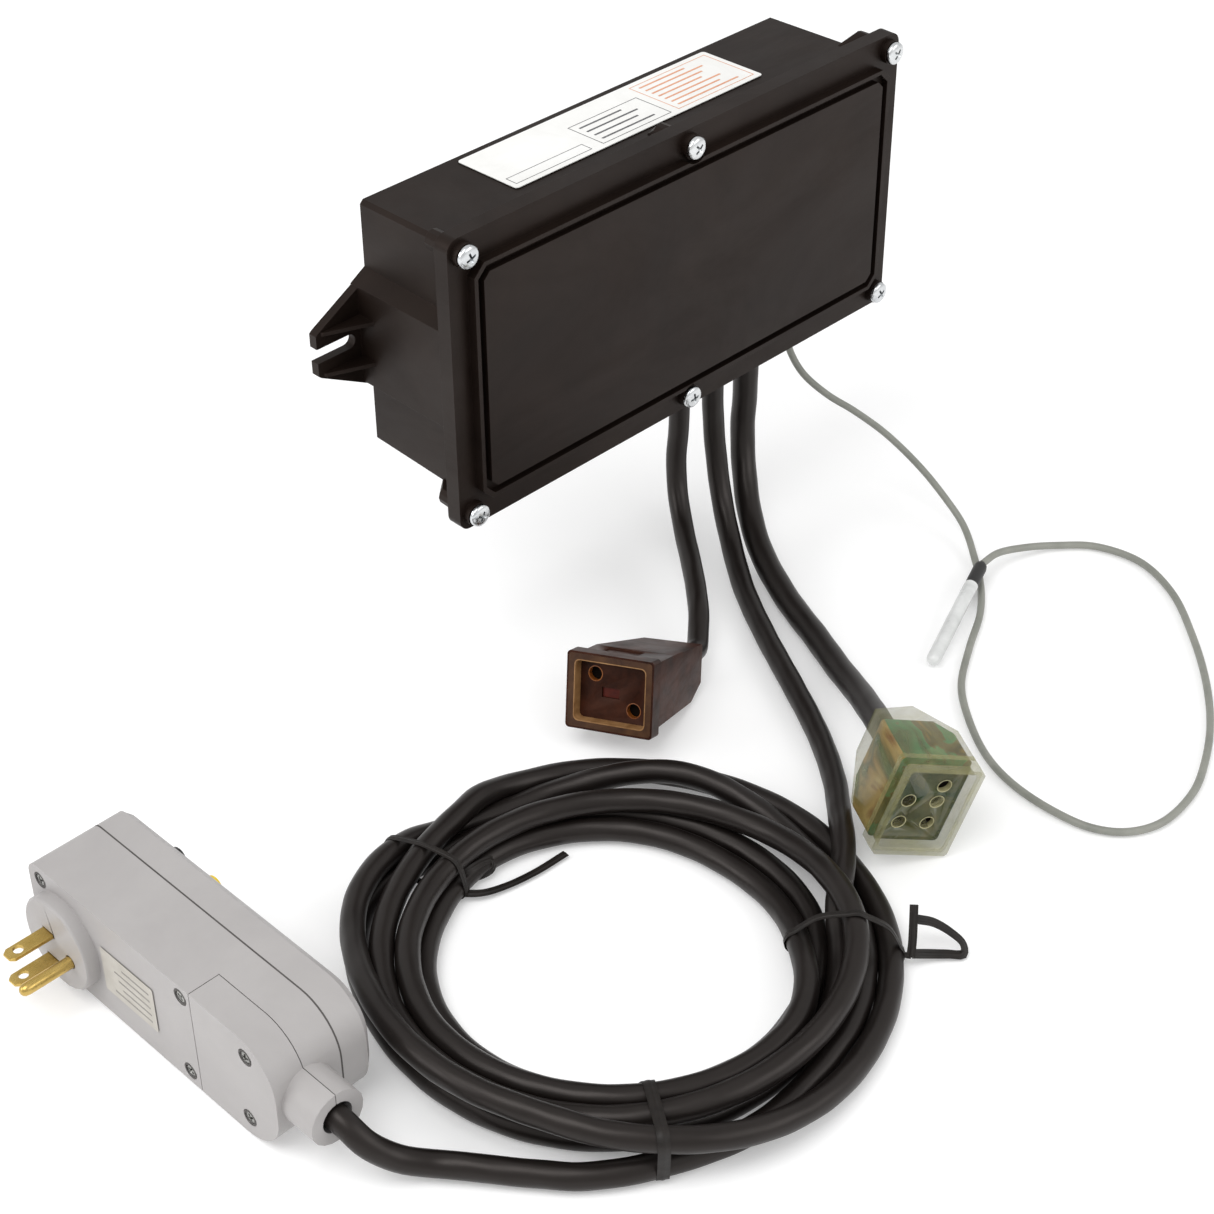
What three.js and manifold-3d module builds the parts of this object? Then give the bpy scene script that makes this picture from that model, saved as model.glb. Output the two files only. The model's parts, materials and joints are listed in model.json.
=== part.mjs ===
// Wall-mounted spa and pool control box with a plug-in shock-protection cord,
// two short receptacle leads and a water temperature probe.
// Units: millimetres, +Z up. Origin: middle of the rear mounting plane (y = 0);
// +X runs along the width of the box, +Y points into the wall, the lid faces -Y.
import * as THREE from 'three';
import { ConvexGeometry } from 'three/addons/geometries/ConvexGeometry.js';
import { mergeVertices } from 'three/addons/utils/BufferGeometryUtils.js';
import Module from 'manifold-3d';

// ---------------------------------------------------------------- dimensions
const GAP = 0.3;                       // clearance kept between touching pieces

// enclosure
const BODY_HW_BACK = 114.7, BODY_HH_BACK = 53.65;      // half width / height at the rear wall
const BODY_HW_FRONT = 115.45, BODY_HH_FRONT = 55.05;   // same at the flange (moulding draft)
const WALL = 3.0;
const FLANGE_BACK = -53.6, FLANGE_FRONT = -56.6;       // housing flange, y
const FLANGE_HW = 122.5, FLANGE_HH = 60.7;
const OPEN_HW = 112.3, OPEN_HH = 51.5;                 // mouth of the housing
const LID_HW = 125.0, LID_HH = 63.2, LID_R = 5;        // lid outline
const LID_FACE = -60.4, LID_SKIRT = -53.4, LID_INNER = -57.9;
const SKIRT_WALL = 2.2;
const RIDGE_HW = 116, RIDGE_HH = 51.5, RIDGE_W = 1.8, RIDGE_Y = -64.4, RIDGE_CH = 5;
const PANEL_HW = 111.4, PANEL_HH = 46.9;
const SCREW_X = 118.2, SCREW_Z = 56.4;
const LID_BOSS_R = 5, LID_BOSS_Y = -63.2;
const SCREW_HOLE_R = 2.4;

// wall ears
const EAR_T = 4, EAR_TIP = 143.5, EAR_MID_Z = -0.5;
const SLOT_W = 6.2, SLOT_END = 127.9;
const SIDE_BOSS_HW = 122, SIDE_BOSS_TOP = 21.3, SIDE_BOSS_BOT = -20.7;

// cable exits along the underside
const EXIT_Y = -34;
const EXITS = { pump: 24.4, mains: 45.2, heater: 66.6, sensor: 92.6 };
const MAINS_D = 9.5, PUMP_D = 9.0, HEATER_D = 11.1, SENSOR_D = 3.2;

// resting plane of the cords
const FLOOR = -160;
const COIL = { x: -178, y: -196, rIn: 62.5, rOut: 101.8, z0: -159.7, z1: -140.2 };

// ---------------------------------------------------------------- helpers
const wasm = await Module(); wasm.setup();

function toSolid(geometry) {
  let g = geometry.clone();
  for (const name of Object.keys(g.attributes)) if (name !== 'position') g.deleteAttribute(name);
  g = mergeVertices(g, 1e-4);
  return new wasm.Manifold(new wasm.Mesh({
    numProp: 3,
    vertProperties: new Float32Array(g.attributes.position.array),
    triVerts: new Uint32Array(g.index.array),
  }));
}
function toGeometry(solid) {
  const mesh = solid.getMesh();
  const g = new THREE.BufferGeometry();
  const n = mesh.numProp, count = mesh.vertProperties.length / n;
  const pos = new Float32Array(count * 3);
  for (let i = 0; i < count; i++) for (let k = 0; k < 3; k++) pos[i * 3 + k] = mesh.vertProperties[i * n + k];
  g.setAttribute('position', new THREE.BufferAttribute(pos, 3));
  g.setIndex(new THREE.BufferAttribute(new Uint32Array(mesh.triVerts), 1));
  g.computeVertexNormals();
  return g;
}
const S = (g) => toSolid(g);
const union = (...list) => list.reduce((a, b) => a.add(b));
const cut = (a, ...list) => list.reduce((m, b) => m.subtract(b), a);

function box(x0, x1, y0, y1, z0, z1) {
  const g = new THREE.BoxGeometry(Math.abs(x1 - x0), Math.abs(y1 - y0), Math.abs(z1 - z0));
  g.translate((x0 + x1) / 2, (y0 + y1) / 2, (z0 + z1) / 2);
  return g;
}
function hull(points) { return new ConvexGeometry(points.map((p) => new THREE.Vector3(...p))); }
// outline in (u, v) extruded along one axis between two planes
function prism(outline, axis, from, to) {
  const shape = outline instanceof THREE.Shape ? outline : new THREE.Shape(outline.map((p) => new THREE.Vector2(p[0], p[1])));
  const lo = Math.min(from, to), len = Math.abs(to - from);
  const g = new THREE.ExtrudeGeometry(shape, { depth: len, bevelEnabled: false, curveSegments: 5, steps: 1 });
  const m = new THREE.Matrix4();
  if (axis === 'y') {            // outline is (x, z)
    m.makeBasis(new THREE.Vector3(1, 0, 0), new THREE.Vector3(0, 0, 1), new THREE.Vector3(0, -1, 0));
    g.applyMatrix4(m); g.translate(0, lo + len, 0);
  } else if (axis === 'x') {     // outline is (y, z)
    m.makeBasis(new THREE.Vector3(0, 1, 0), new THREE.Vector3(0, 0, 1), new THREE.Vector3(1, 0, 0));
    g.applyMatrix4(m); g.translate(lo, 0, 0);
  } else g.translate(0, 0, lo);  // outline is (x, y)
  return g;
}
function roundRect(hw, hh, r, cx = 0, cy = 0) {
  const s = new THREE.Shape(), x0 = cx - hw, x1 = cx + hw, y0 = cy - hh, y1 = cy + hh;
  const rr = Array.isArray(r) ? r : [r, r, r, r];   // x0y0, x1y0, x1y1, x0y1
  s.moveTo(x0 + rr[0], y0);
  s.lineTo(x1 - rr[1], y0); s.absarc(x1 - rr[1], y0 + rr[1], rr[1], -Math.PI / 2, 0);
  s.lineTo(x1, y1 - rr[2]); s.absarc(x1 - rr[2], y1 - rr[2], rr[2], 0, Math.PI / 2);
  s.lineTo(x0 + rr[3], y1); s.absarc(x0 + rr[3], y1 - rr[3], rr[3], Math.PI / 2, Math.PI);
  s.lineTo(x0, y0 + rr[0]); s.absarc(x0 + rr[0], y0 + rr[0], rr[0], Math.PI, Math.PI * 1.5);
  return s;
}
function chamferRect(hw, hh, c) {
  return [[-hw + c, -hh], [hw - c, -hh], [hw, -hh + c], [hw, hh - c], [hw - c, hh], [-hw + c, hh], [-hw, hh - c], [-hw, -hh + c]];
}
// solid of revolution; profile [[radius, height], ...] from axis to axis (or closed)
function lathe(profile, axis, cx, cy, cz, segments = 16) {
  const g = new THREE.LatheGeometry(profile.map((p) => new THREE.Vector2(p[0], p[1])), segments);
  const m = new THREE.Matrix4();
  if (axis === 'y') m.makeRotationX(0);
  if (axis === 'z') m.makeRotationX(Math.PI / 2);
  if (axis === 'x') m.makeRotationZ(-Math.PI / 2);
  if (axis === '-x') m.makeRotationZ(Math.PI / 2);
  if (axis === '-y') m.makeRotationX(Math.PI);
  g.applyMatrix4(m); g.translate(cx, cy, cz);
  return g;
}
function rod(axis, a, b, r, u, v, segments = 16) {
  const g = new THREE.CylinderGeometry(r, r, Math.abs(b - a), segments);
  const mid = (a + b) / 2;
  if (axis === 'x') { g.rotateZ(Math.PI / 2); g.translate(mid, u, v); }
  if (axis === 'y') { g.translate(u, mid, v); }
  if (axis === 'z') { g.rotateX(Math.PI / 2); g.translate(u, v, mid); }
  return g;
}
// flexible lead: polygonal section swept along a smooth path
function tube(points, diameter, sides, steps) {
  const curve = new THREE.CatmullRomCurve3(points.map((p) => new THREE.Vector3(...p)), false, 'centripetal');
  const section = new THREE.Shape(Array.from({ length: sides }, (_, i) => {
    const a = (i / sides) * Math.PI * 2;
    return new THREE.Vector2(Math.cos(a) * diameter / 2, Math.sin(a) * diameter / 2);
  }));
  return new THREE.ExtrudeGeometry(section, { steps, extrudePath: curve, bevelEnabled: false });
}

const group = new THREE.Group();
function add(name, geometryOrSolid, colour, roughness, metalness, parent = group, extra = {}) {
  let g = geometryOrSolid.isBufferGeometry ? geometryOrSolid : toGeometry(geometryOrSolid);
  if (geometryOrSolid.isBufferGeometry) {
    g = g.clone();
    for (const a of Object.keys(g.attributes)) if (a !== 'position') g.deleteAttribute(a);
    g = mergeVertices(g, 1e-4);
    g.computeVertexNormals();
  }
  const mesh = new THREE.Mesh(g, new THREE.MeshStandardMaterial({ color: colour, roughness, metalness, ...extra }));
  mesh.name = name;
  parent.add(mesh);
  return mesh;
}
const BLACK = 0x1b1a19, CORD = 0x1c1c1c, GREY = 0xc9c6bf, BRASS = 0xb8953c, ZINC = 0xc8cacb;

// ---------------------------------------------------------------- housing
{
  const bw = BODY_HW_BACK, bh = BODY_HH_BACK, fw = BODY_HW_FRONT, fh = BODY_HH_FRONT, fb = FLANGE_BACK;
  const c = 1.6;
  const ring = (w, h, y) => [[-w + c, y, -h], [w - c, y, -h], [w, y, -h + c], [w, y, h - c], [w - c, y, h], [-w + c, y, h], [-w, y, h - c], [-w, y, -h + c]];
  let body = S(hull([...ring(bw, bh, 0), ...ring(fw, fh, fb - 0.5)]));
  // flange
  body = body.add(S(prism(roundRect(FLANGE_HW, FLANGE_HH, 3.2), 'y', FLANGE_FRONT, FLANGE_BACK)));
  // tapered bosses behind the flange that take the lid screws
  for (const sx of [-1, 0, 1]) for (const sz of [-1, 1]) {
    const px = sx * (SCREW_X - 0.4), pz = sz * (SCREW_Z - 0.2), pts = [];
    for (let i = 0; i < 12; i++) {
      const a = (i / 12) * Math.PI * 2;
      pts.push([px + 4.4 * Math.cos(a), fb - 0.4, pz + 4.4 * Math.sin(a)]);
      pts.push([px + 4.0 * Math.cos(a), -44.5, pz + 4.0 * Math.sin(a)]);
    }
    // root that fades into the wall
    const rx = sx === 0 ? 0 : sx * 112.4, rz = sz * 53.4;
    for (const dx of [-2.4, 2.4]) for (const dz of [-1.0, 0.8]) pts.push([rx + dx, -39.5, rz + dz * sz]);
    body = body.add(S(hull(pts)));
  }
  // side bosses and slotted wall ears
  for (const s of [-1, 1]) {
    const B = SIDE_BOSS_HW;
    body = body.add(S(prism([[s * 112.5, 27], [s * 113.6, 26.4], [s * B, SIDE_BOSS_TOP], [s * B, SIDE_BOSS_BOT], [s * 113.6, -27.2], [s * 112.5, -27.8]].map((p) => p), 'y', fb - 0.4, 0)));
    const z = EAR_MID_Z;
    let ear = S(prism([[s * 112.8, z + 26.4], [s * (EAR_TIP - 1.2), z + 9.8], [s * EAR_TIP, z + 8.8], [s * EAR_TIP, z - 8.8], [s * (EAR_TIP - 1.2), z - 9.8], [s * 120.8, z - 21.6], [s * 112.8, z - 26.4]], 'y', -EAR_T, 0));
    for (const k of [-1, 1]) {      // stiffening ribs on both sides of the slot
      const rz = z + k * 9.0;
      ear = ear.add(S(prism([[s * 120, -3], [s * 141.5, -3], [s * 140.5, -4.8], [s * B, -12.3], [s * 120, -12.3]], 'z', rz - 0.8, rz + 0.8)));
    }
    body = body.add(ear);
    const h = SLOT_W / 2;
    body = cut(body, S(box(s * SLOT_END, s * 150, -6, 2, z - h, z + h)), S(rod('y', -6, 2, h, s * SLOT_END, z, 16)));
  }
  // hollow, open towards the lid
  const iw = bw - WALL, ih = bh - WALL;
  body = cut(body, S(hull([...[[iw, ih], [-iw, ih], [iw, -ih], [-iw, -ih]].map((p) => [p[0], -WALL, p[1]]),
    ...[[OPEN_HW, OPEN_HH], [-OPEN_HW, OPEN_HH], [OPEN_HW, -OPEN_HH], [-OPEN_HW, -OPEN_HH]].map((p) => [p[0], FLANGE_FRONT - 1, p[1]])])));
  // board standoffs
  for (const sx of [-90, 90]) for (const sz of [-36, 36]) {
    body = body.add(S(rod('y', -WALL + 0.5, -11, 3.6, sx, sz, 12)));
    body = cut(body, S(rod('y', -5.2, -12, 1.7, sx, sz, 10)));
  }
  // lid screw holes
  for (const sx of [-1, 0, 1]) for (const sz of [-1, 1])
    body = cut(body, S(rod('y', FLANGE_FRONT - 1, -46, SCREW_HOLE_R, sx * SCREW_X, sz * SCREW_Z, 12)));
  // cable entries through the floor of the housing
  const holes = { pump: 7.4, mains: 7.4, heater: 8.2, sensor: 4.0 };
  for (const k of Object.keys(EXITS)) body = cut(body, S(rod('z', -60, -45, holes[k], EXITS[k], EXIT_Y, 16)));
  add('housing', body, BLACK, 0.5, 0);
}

// ---------------------------------------------------------------- lid
{
  let lid = S(prism(roundRect(LID_HW, LID_HH, LID_R), 'y', LID_FACE, LID_SKIRT));
  lid = cut(lid, S(prism(roundRect(LID_HW - SKIRT_WALL, LID_HH - SKIRT_WALL, LID_R - 1.6), 'y', LID_INNER, LID_SKIRT + 1)));
  lid = lid.add(S(prism(chamferRect(RIDGE_HW, RIDGE_HH, RIDGE_CH), 'y', RIDGE_Y, LID_FACE + 0.5)));
  const moat = cut(S(prism(chamferRect(RIDGE_HW - RIDGE_W, RIDGE_HH - RIDGE_W, RIDGE_CH - 0.7), 'y', RIDGE_Y - 1, -61.4)),
    S(prism(chamferRect(PANEL_HW, PANEL_HH, RIDGE_CH - 2), 'y', RIDGE_Y - 2, -61)));
  lid = lid.subtract(moat);
  for (const sz of [-1, 1])      // notch in the ridge round each middle screw
    lid = cut(lid, S(rod('y', RIDGE_Y - 1, LID_FACE, 6.4, 0, sz * SCREW_Z, 20)));
  lid = lid.subtract(S(prism(roundRect(PANEL_HW - 2.6, PANEL_HH - 2.6, 3), 'y', -61.9, LID_INNER + 1)));
  for (const sx of [-1, 0, 1]) for (const sz of [-1, 1])
    lid = lid.add(S(rod('y', LID_BOSS_Y, LID_FACE + 0.5, LID_BOSS_R, sx * SCREW_X, sz * SCREW_Z, 20)));
  for (const sx of [-1, 0, 1]) for (const sz of [-1, 1])
    lid = cut(lid, S(rod('y', LID_BOSS_Y - 1, LID_SKIRT, SCREW_HOLE_R, sx * SCREW_X, sz * SCREW_Z, 12)));
  add('front_cover', lid, BLACK, 0.45, 0);
}
add('cover_gasket', cut(S(prism(roundRect(115.3, 53.7, 2), 'y', -57.6, -56.9)), S(prism(roundRect(112.8, 51.9, 1), 'y', -59, -55))), 0x2b2b2b, 0.9, 0);

// lid screws: pan head with a plain shank
const screwProfile = (hr, hh, sr, sl) => [[0, 0], [hr * 0.72, 0.0], [hr * 0.93, hh * 0.3], [hr, hh * 0.62], [hr, hh], [sr, hh], [sr, hh + sl - 1], [sr * 0.55, hh + sl], [0, hh + sl]];
{
  const names = [['top_left', -1, 1], ['top_middle', 0, 1], ['top_right', 1, 1], ['bottom_left', -1, -1], ['bottom_middle', 0, -1], ['bottom_right', 1, -1]];
  for (const [n, sx, sz] of names)
    add('cover_screw_' + n, lathe(screwProfile(4.7, 2.5, 2.0, 16), 'y', sx * SCREW_X, -66.0, sz * SCREW_Z, 14), ZINC, 0.3, 1);
}
// blank rating plate on the top wall
{
  const zt = (y) => BODY_HH_BACK + (BODY_HH_FRONT - BODY_HH_BACK) * (y / (FLANGE_BACK - 0.5));
  const pts = [];
  for (const x of [-69.3, 67.8]) for (const y of [-37.2, -3.6]) { pts.push([x, y, zt(y) + GAP]); pts.push([x, y, zt(y) + GAP + 0.35]); }
  add('rating_plate', hull(pts), 0xf4f3ef, 0.6, 0);
}

// ---------------------------------------------------------------- inside the box
{
  let board = S(box(-96, 96, -12.9, -11.3, -42, 42));
  for (const sx of [-90, 90]) for (const sz of [-36, 36]) board = cut(board, S(rod('y', -14, -10, 1.8, sx, sz, 10)));
  add('control_board', board, 0x1f5a34, 0.5, 0);
  const names = { '-1,1': 'top_left', '1,1': 'top_right', '-1,-1': 'bottom_left', '1,-1': 'bottom_right' };
  for (const sx of [-1, 1]) for (const sz of [-1, 1])
    add('board_screw_' + names[`${sx},${sz}`], lathe(screwProfile(2.9, 1.7, 1.3, 8), 'y', sx * 90, -14.9, sz * 36, 10), ZINC, 0.35, 1);
  let tr = union(S(box(-84, -36, -44, -16, -12, 28)), S(box(-78, -42, -48, -13.2, -6, 22)));
  add('transformer', tr, 0x53565a, 0.55, 0.3);
  add('pump_relay', union(S(box(-14, 15, -30, -13.2, 14, 27))), 0x20356b, 0.4, 0);
  add('heater_relay', union(S(box(27, 56, -30, -13.2, 14, 27))), 0x20356b, 0.4, 0);
  let tb = S(box(30, 84, -25, -13.2, -34, -22));
  for (let i = 0; i < 5; i++) tb = cut(tb, S(box(32.5 + i * 10.4, 39.5 + i * 10.4, -26, -16, -31.5, -24.5)));
  add('terminal_block', tb, 0xd9d6c8, 0.5, 0);
}

// strain reliefs in the floor of the housing: collar inside, tapered nose outside
{
  const make = (name, x, rHole, rCord, nose, ribs) => {
    const top = -50.4, wallOut = -54.1 - 0.45, wallIn = -51.0;
    const p = [[0, -nose], [rCord + 1.2, -nose], [rCord + 2.2, -nose + 6], [rCord + 2.6, -60.2], [rHole + 1.6, -59.6], [rHole + 1.6, -56.0], [rHole - 0.35, -56.0], [rHole - 0.35, -49.5], [rCord + 1.2, -47.5], [0, -47.5]];
    const g = new THREE.LatheGeometry(p.map((q) => new THREE.Vector2(q[0], q[1])), 16);
    g.rotateX(Math.PI / 2); g.translate(x, EXIT_Y, 0);
    add(name, g, 0x1a1a1a, 0.6, 0);
  };
  make('mains_strain_relief', EXITS.mains, 7.4, MAINS_D / 2, 80);
  make('pump_strain_relief', EXITS.pump, 7.4, PUMP_D / 2, 80);
  make('heater_strain_relief', EXITS.heater, 8.2, HEATER_D / 2, 80);
  make('sensor_strain_relief', EXITS.sensor, 4.0, SENSOR_D / 2, 72);
}

// ---------------------------------------------------------------- mains lead
const mainsRun = [[45.2, EXIT_Y, -80.3], [45.4, -34.2, -94], [45.3, -35.4, -108], [43.6, -39.2, -122], [38.6, -47.6, -137], [30.5, -60.5, -147.5], [17.6, -79.3, -153.6], [0.7, -107, -155.2], [-14.9, -135.2, -155.2], [-27.5, -157.8, -155.1], [-41, -178.6, -154.2], [-54.5, -196, -152.2], [-66, -208.6, -149.6], [-71.6, -215.2, -149.0]];
add('mains_cord_run', tube(mainsRun, MAINS_D, 10, 16), CORD, 0.45, 0);
{
  const { rIn, rOut, z0, z1 } = COIL, h = (z1 - z0), b = 5;
  const p = [[rIn + b, z0], [rOut - b, z0], [rOut, z0 + b], [rOut, z1 - b], [rOut - b, z1], [rIn + b, z1], [rIn, z1 - b], [rIn, z0 + b], [rIn + b, z0]];
  const g = new THREE.LatheGeometry(p.map((q) => new THREE.Vector2(q[0], q[1])), 44);
  g.rotateX(Math.PI / 2); g.translate(COIL.x, COIL.y, 0);
  add('mains_cord_coil', g, CORD, 0.45, 0);
}
const mainsTail = [[-309, -199.6, -136], [-308.2, -205.5, -139.4], [-304.2, -211.2, -145.5], [-298, -216.6, -151.2], [-291.6, -221.8, -154.2], [-285.5, -228.6, -154.6], [-278.2, -238.6, -154.6]];
add('mains_cord_tail', tube(mainsTail, MAINS_D, 10, 7), CORD, 0.45, 0);
{
  // wire ties that hold the coil
  const ties = { upper: 105, right: -46, lower: -126 };
  for (const [n, deg] of Object.entries(ties)) {
    const r0 = 61.2, r1 = COIL.rOut + 1.2, z0 = COIL.z0 - 1.0, z1 = COIL.z1 + 1.0;
    let t = cut(S(box(r0, r1, -2.2, 2.2, z0, z1)), S(box(r0 + 0.6, r1 - 0.6, -3, 3, z0 + 0.6, z1 - 0.6)));
    const g = toGeometry(t);
    g.rotateZ(deg * Math.PI / 180); g.translate(COIL.x, COIL.y, 0);
    add('cord_tie_' + n, g, 0x161616, 0.7, 0);
  }
}

// ---------------------------------------------------------------- plug-in shock protector
const PLUG = { xBack: -322.1, xSeam: -294.0, xFace: -279.9, y0: -45, y1: -183, z0: FLOOR, z1: -112.2, zMid: -136, ySplit: -139 };
{
  const P = PLUG, hz = (P.z1 - P.z0) / 2, cz = (P.z1 + P.z0) / 2, hy = (P.y0 - P.y1) / 2, cy = (P.y0 + P.y1) / 2;
  const R = [19, 6, 6, 19];                       // large radii at the cord end (low y)
  const outline = (d) => roundRect(hy - d, hz - d, R.map((r) => Math.max(1.5, r - d)), cy, cz);
  const xs = P.xBack + 13.1;                      // split plane of the wiring cover (nozzle axis)
  const nozzle = (r, a, b) => S(rod('y', a, b, r, xs, P.zMid, 20));
  // closed-back shell, open towards the seam
  let shell = S(prism(outline(0), 'x', P.xBack, P.xSeam));
  shell = union(shell, S(lathe([[0, 0], [18.2, 0], [19, 1], [19, 6.2], [0, 6.2]], 'x', P.xBack - 5.5, -65, -137.5, 28)), S(rod('y', P.y1 + 8, P.y1 - 15.5, 11, xs, P.zMid, 20)));
  let inner = S(prism(outline(2.6), 'x', P.xBack + 2.6, P.xSeam + 1));
  inner = inner.subtract(union(S(box(P.xBack, P.xSeam + 2, P.ySplit - 1.6, P.ySplit + 1.6, P.z0, P.z1))));
  shell = shell.subtract(inner);
  shell = shell.subtract(nozzle(6.2, P.y1 + 12, P.y1 - 20));
  // blade slots and ground hole
  const bz = -140.4, by = -61.2;
  const bladeHole = (z) => S(box(-330, -316, by - 3.55, by + 3.55, z - 1.15, z + 1.15));
  shell = cut(shell, bladeHole(bz + 6.35), bladeHole(bz - 6.35), S(rod('x', -330, -316, 2.8, by - 11.86, bz, 14)));
  // screw recesses on the rear face
  const screws = [['1', -52, -118.4], ['2', -133.8, -117.4], ['3', -133.3, -154.3], ['4', -168.3, -120.5], ['5', -166.5, -151.5]];
  for (const [, y, z] of screws) shell = cut(shell, S(rod('x', P.xBack - 1, P.xBack + 1.6, 3.5, y, z, 14)), S(rod('x', P.xBack - 1, P.xBack + 4, 1.5, y, z, 8)));
  const half = S(box(P.xBack - 1, xs - 0.15, P.y1 - 30, P.ySplit - 0.15, P.z0 - 2, P.z1 + 2));
  const halfOut = S(box(P.xBack - 1, xs + 0.15, P.y1 - 30, P.ySplit + 0.15, P.z0 - 2, P.z1 + 2));
  const cover = shell.intersect(half);
  const rear = shell.subtract(halfOut);
  add('plug_rear_housing', rear, GREY, 0.45, 0);
  add('plug_wiring_cover', cover, GREY, 0.45, 0);
  // front cover with a raised pad for the two push buttons
  let front = S(prism(outline(0), 'x', P.xSeam + GAP, P.xFace - 3));
  {
    const a = outline(0).getPoints(5), b = outline(3.2).getPoints(5);
    const pts = [...a.map((q) => [P.xFace - 3.2, q.x, q.y]), ...b.map((q) => [P.xFace, q.x, q.y])];
    front = front.add(S(hull(pts)));
  }
  front = cut(front, S(prism(outline(2.6), 'x', P.xSeam - 1, P.xFace - 3.4)));
  const btn = { test: [-74.5, -121.5], reset: [-95.5, -121.5] };
  for (const k of Object.keys(btn)) front = cut(front, S(rod('x', P.xFace - 6, P.xFace + 2, 4.6, btn[k][0], btn[k][1], 18)));
  add('plug_front_cover', front, GREY, 0.45, 0);
  // push buttons: cap, collar that keeps them captive, stem towards the board
  for (const [k, col] of [['test', 0x1a1a1a], ['reset', 0xe8c71e]]) {
    const [y, z] = btn[k];
    const prof = [[0, 0], [3.3, 0], [4.2, 0.7], [4.2, 6.4], [5.6, 6.4], [5.6, 7.8], [1.5, 7.8], [1.5, 9.6], [0, 9.6]];
    add(k + '_button', lathe(prof, '-x', P.xFace + 2.6, y, z, 16), col, 0.4, 0);
    // return spring round the stem, seated on the board
    const pts = [];
    for (let i = 0; i <= 30; i++) { const a = i / 30 * Math.PI * 2 * 3; pts.push([-290.6 + i / 30 * 2.0, y + 2.6 * Math.cos(a), z + 2.6 * Math.sin(a)]); }
    add(k + '_spring', tube(pts, 0.5, 5, 36), 0xb9bcbf, 0.35, 1);
  }
  // trip board behind the buttons
  let pb = S(box(-293.2, -291.6, -126, -52, -154, -118));
  add('plug_trip_board', pb, 0x27633d, 0.5, 0);
  // blades and ground pin
  for (const [n, s] of [['upper', 1], ['lower', -1]]) {
    const z = bz + s * 6.35;
    let b = S(hull([[-313, by - 3.2, z - 0.75], [-313, by + 3.2, z - 0.75], [-313, by - 3.2, z + 0.75], [-313, by + 3.2, z + 0.75],
      [-343.5, by - 3.2, z - 0.75], [-343.5, by + 3.2, z - 0.75], [-343.5, by - 3.2, z + 0.75], [-343.5, by + 3.2, z + 0.75],
      [-345.4, by - 1.9, z - 0.35], [-345.4, by + 1.9, z - 0.35], [-345.4, by - 1.9, z + 0.35], [-345.4, by + 1.9, z + 0.35]]));
    b = cut(b, S(rod('z', z - 2, z + 2, 1.95, -340.3, by, 14)));
    add('plug_blade_' + n, b, BRASS, 0.3, 1);
  }
  add('plug_ground_pin', lathe([[0, 0], [1.2, 0.1], [2.1, 1.0], [2.38, 2.4], [2.38, 35], [0, 35]], 'x', -348.8, by - 11.86, bz, 14), BRASS, 0.3, 1);
  for (const [n, y, z] of screws)
    add('plug_screw_' + n, lathe([[0, 0], [2.2, 0], [2.9, 0.5], [2.9, 1.2], [1.15, 1.2], [1.15, 3.2], [0, 3.2]], 'x', P.xBack + 0.1, y, z, 10), ZINC, 0.35, 1);
  add('plug_sticker', S(box(-322.75, -322.4, -117, -86.3, -147.5, -126.5)), 0xeceae4, 0.6, 0);
}

// ---------------------------------------------------------------- receptacle leads
function frameOf(a, b, back, centre) {
  const B = new THREE.Vector3(...back).normalize();
  const D = new THREE.Vector3(...b); D.addScaledVector(B, -D.dot(B)).normalize();     // down
  const A = new THREE.Vector3().crossVectors(D, B);                                    // right
  const m = new THREE.Matrix4().makeBasis(A, D, B); m.setPosition(...centre);
  const holder = new THREE.Group();
  holder.applyMatrix4(m);
  group.add(holder);
  return holder;
}
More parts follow.
